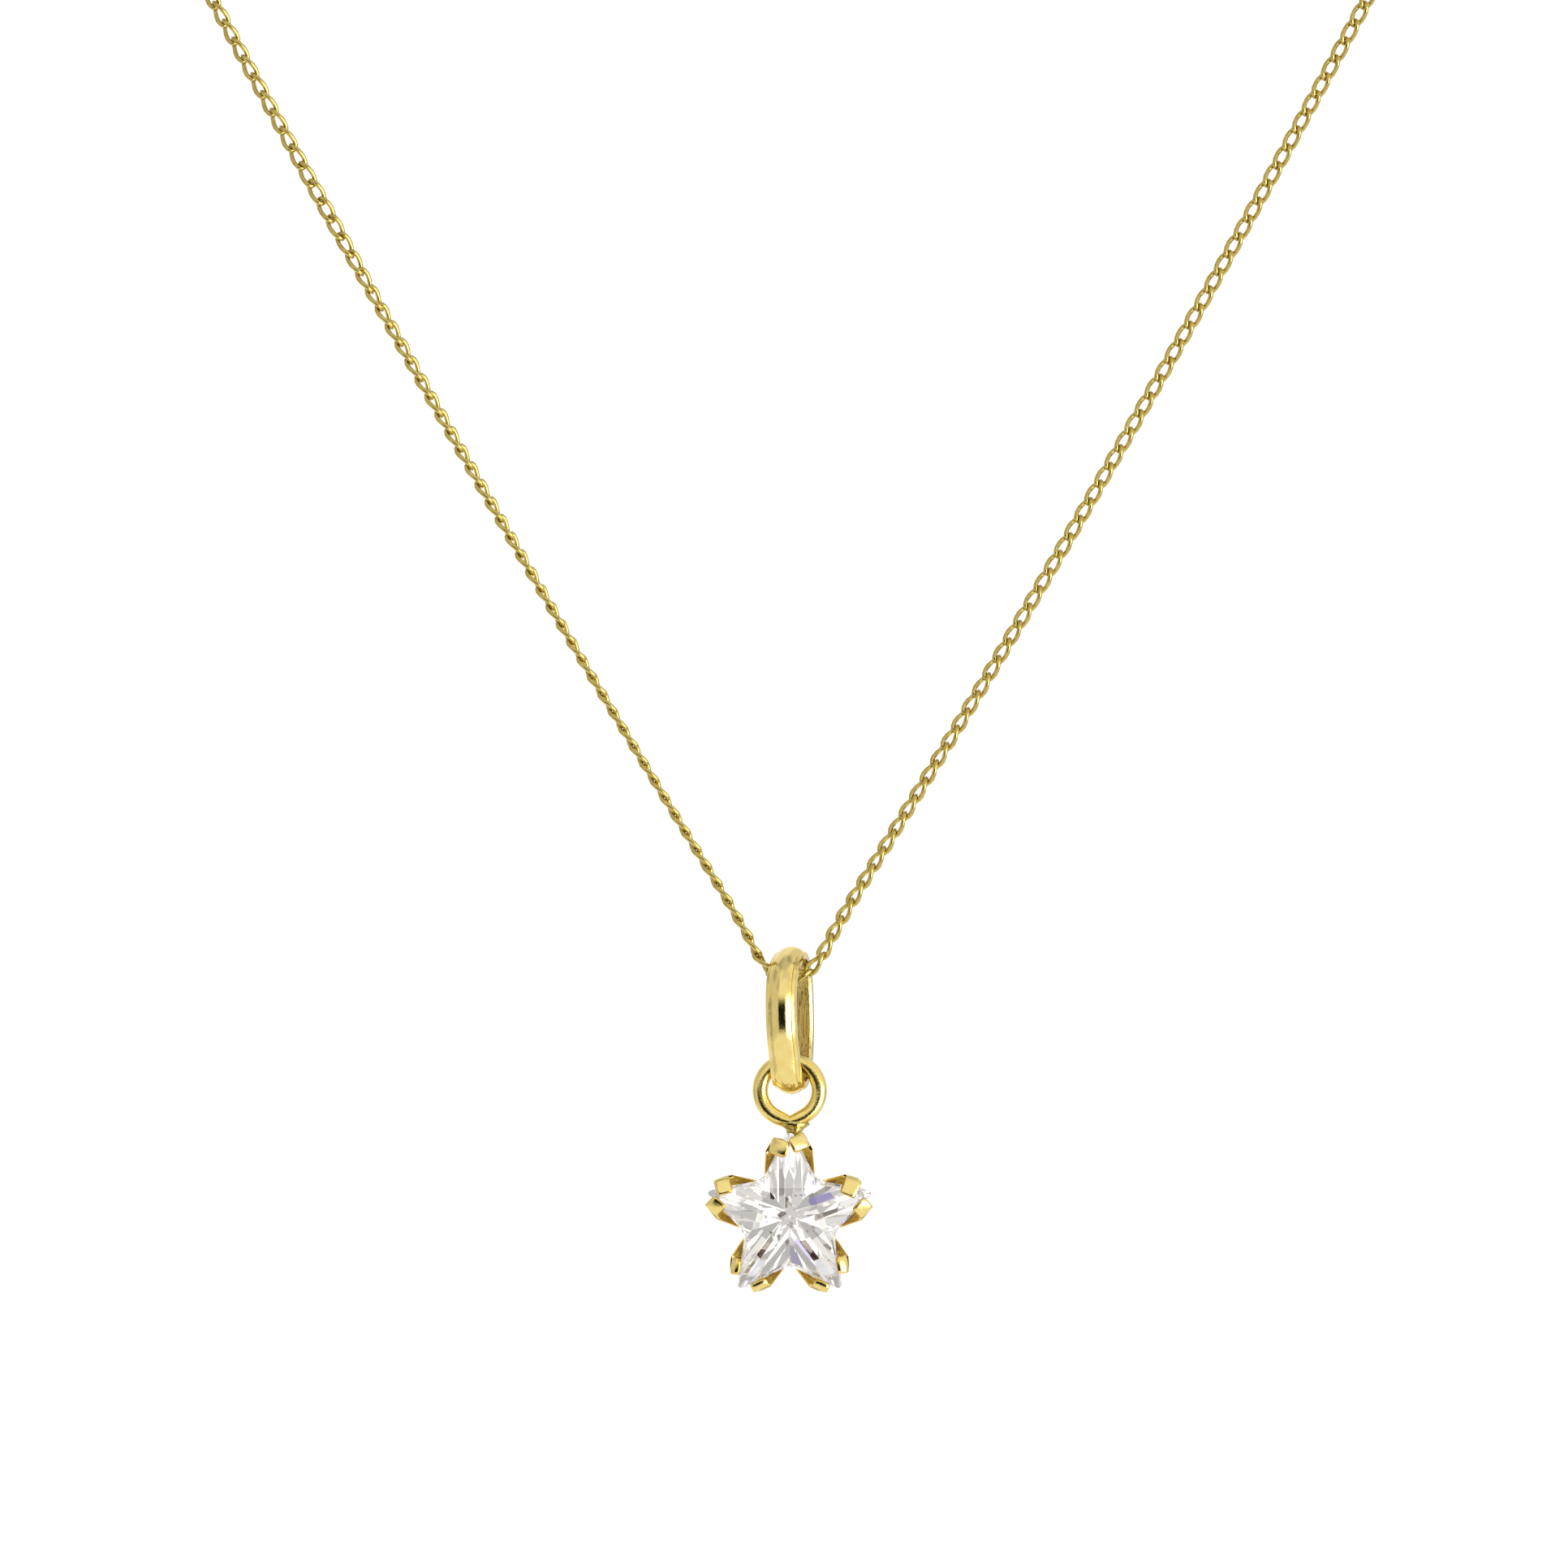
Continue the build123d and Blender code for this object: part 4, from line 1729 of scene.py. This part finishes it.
    def tent_light(self) -> None:
        """Light the scene from a white tent with soft bright and dark patches."""
        world = bpy.data.worlds.new("white_tent")
        world.use_nodes = True
        tree = world.node_tree
        tree.nodes.clear()
        way = add_node(tree, "ShaderNodeTexCoord").outputs["Generated"]
        split = add_node(tree, "ShaderNodeSeparateXYZ", {0: way}).outputs
        back = add_node(
            tree, "ShaderNodeMath", {0: split["Y"], 1: -1.0}, operation="MULTIPLY"
        ).outputs[0]
        azimuth = add_node(
            tree, "ShaderNodeMath", {0: split["X"], 1: back}, operation="ARCTAN2"
        ).outputs[0]
        elevation = add_node(tree, "ShaderNodeMath", {0: split["Z"]}, operation="ARCSINE").outputs[0]
        total, *others = (self.patch_light(tree, (azimuth, elevation), patch) for patch in self.patches)
        for other in others:
            total = add_node(tree, "ShaderNodeVectorMath", {0: total, 1: other}, operation="ADD").outputs[0]
        lit = add_node(
            tree, "ShaderNodeVectorMath", {0: total, 1: (self.tent,) * 3}, operation="ADD"
        ).outputs[0]
        lit = add_node(tree, "ShaderNodeVectorMath", {0: lit, 1: (0.0,) * 3}, operation="MAXIMUM").outputs[0]
        tent = add_node(tree, "ShaderNodeBackground", {"Color": lit, "Strength": 1.0}).outputs[0]
        backdrop = add_node(
            tree, "ShaderNodeBackground", {"Color": (1.0, 1.0, 1.0, 1.0), "Strength": self.backdrop}
        ).outputs[0]
        seen = add_node(tree, "ShaderNodeLightPath").outputs["Is Camera Ray"]
        both = add_node(tree, "ShaderNodeMixShader", {0: seen, 1: tent, 2: backdrop}).outputs[0]
        add_node(tree, "ShaderNodeOutputWorld", {"Surface": both})
        bpy.context.scene.world = world

    def build(self) -> None:
        """Set up the light, the floor and the camera."""
        bpy.context.scene.view_settings.view_transform = "Standard"
        self.tent_light()
        self.floor()
        self.camera()


def main() -> None:
    """Build every piece, then the studio."""
    logging.basicConfig(level=logging.INFO, format="%(message)s")
    gold = GoldFinish("polished_yellow_gold", "#E9D58E", "#DDC36E")
    chain_gold = GoldFinish("drawn_chain_gold", "#C8B466", "#B39C4C")
    CurbChain(chain_gold).build()
    Clasp(gold).build()
    # Gold of the band's inside: deeper, rougher lines with painted shade in their grooves.
    inner_gold = GoldFinish(
        "scratched_gold_with_painted_shade",
        "#E8D898",
        "#DCC276",
        line_stretch=(1.0, 1.0, 0.02),
        line_depth_mm=0.006,
        line_shade=0.7,
        roughness_low=0.15,
        roughness_high=0.3,
    )
    solder = GoldFinish("solder_gold", "#BEB070", "#A69249", dent_size_mm=0.16, dent_depth_mm=0.02)
    Bail(gold, inner_gold).build()
    # Darker copy of the gold: painted shade for the inside of the cup.
    painted_cup_shade_gold = GoldFinish("painted_shade_yellow_gold", "#D2B050", "#B28E30")
    ring_gold = GoldFinish(
        "worn_yellow_gold",
        "#E9D488",
        "#DDC168",
        grain_size_mm=0.09,
        grain_depth_mm=0.0065,
        dent_depth_mm=0.006,
    )
    StarSetting(gold, solder, painted_cup_shade_gold, ring_gold).build()
    # Glowing backings under the stone: painted light, with painted reflections and shade on single facets.
    painted_light_backings = (
        PaintedLightBacking(),
        PaintedLightBacking("dim_painted_reflection_backing", "#B4ABA4", glow=0.12),
        PaintedLightBacking("painted_shade_stone_backing", "#66554B", glow=0.03),
        PaintedLightBacking("lilac_painted_reflection_backing", "#C2B8EE"),
    )
    StarStone(ZirconiaFinish(), painted_light_backings).build()
    Studio().build()


if __name__ == "__main__":
    main()
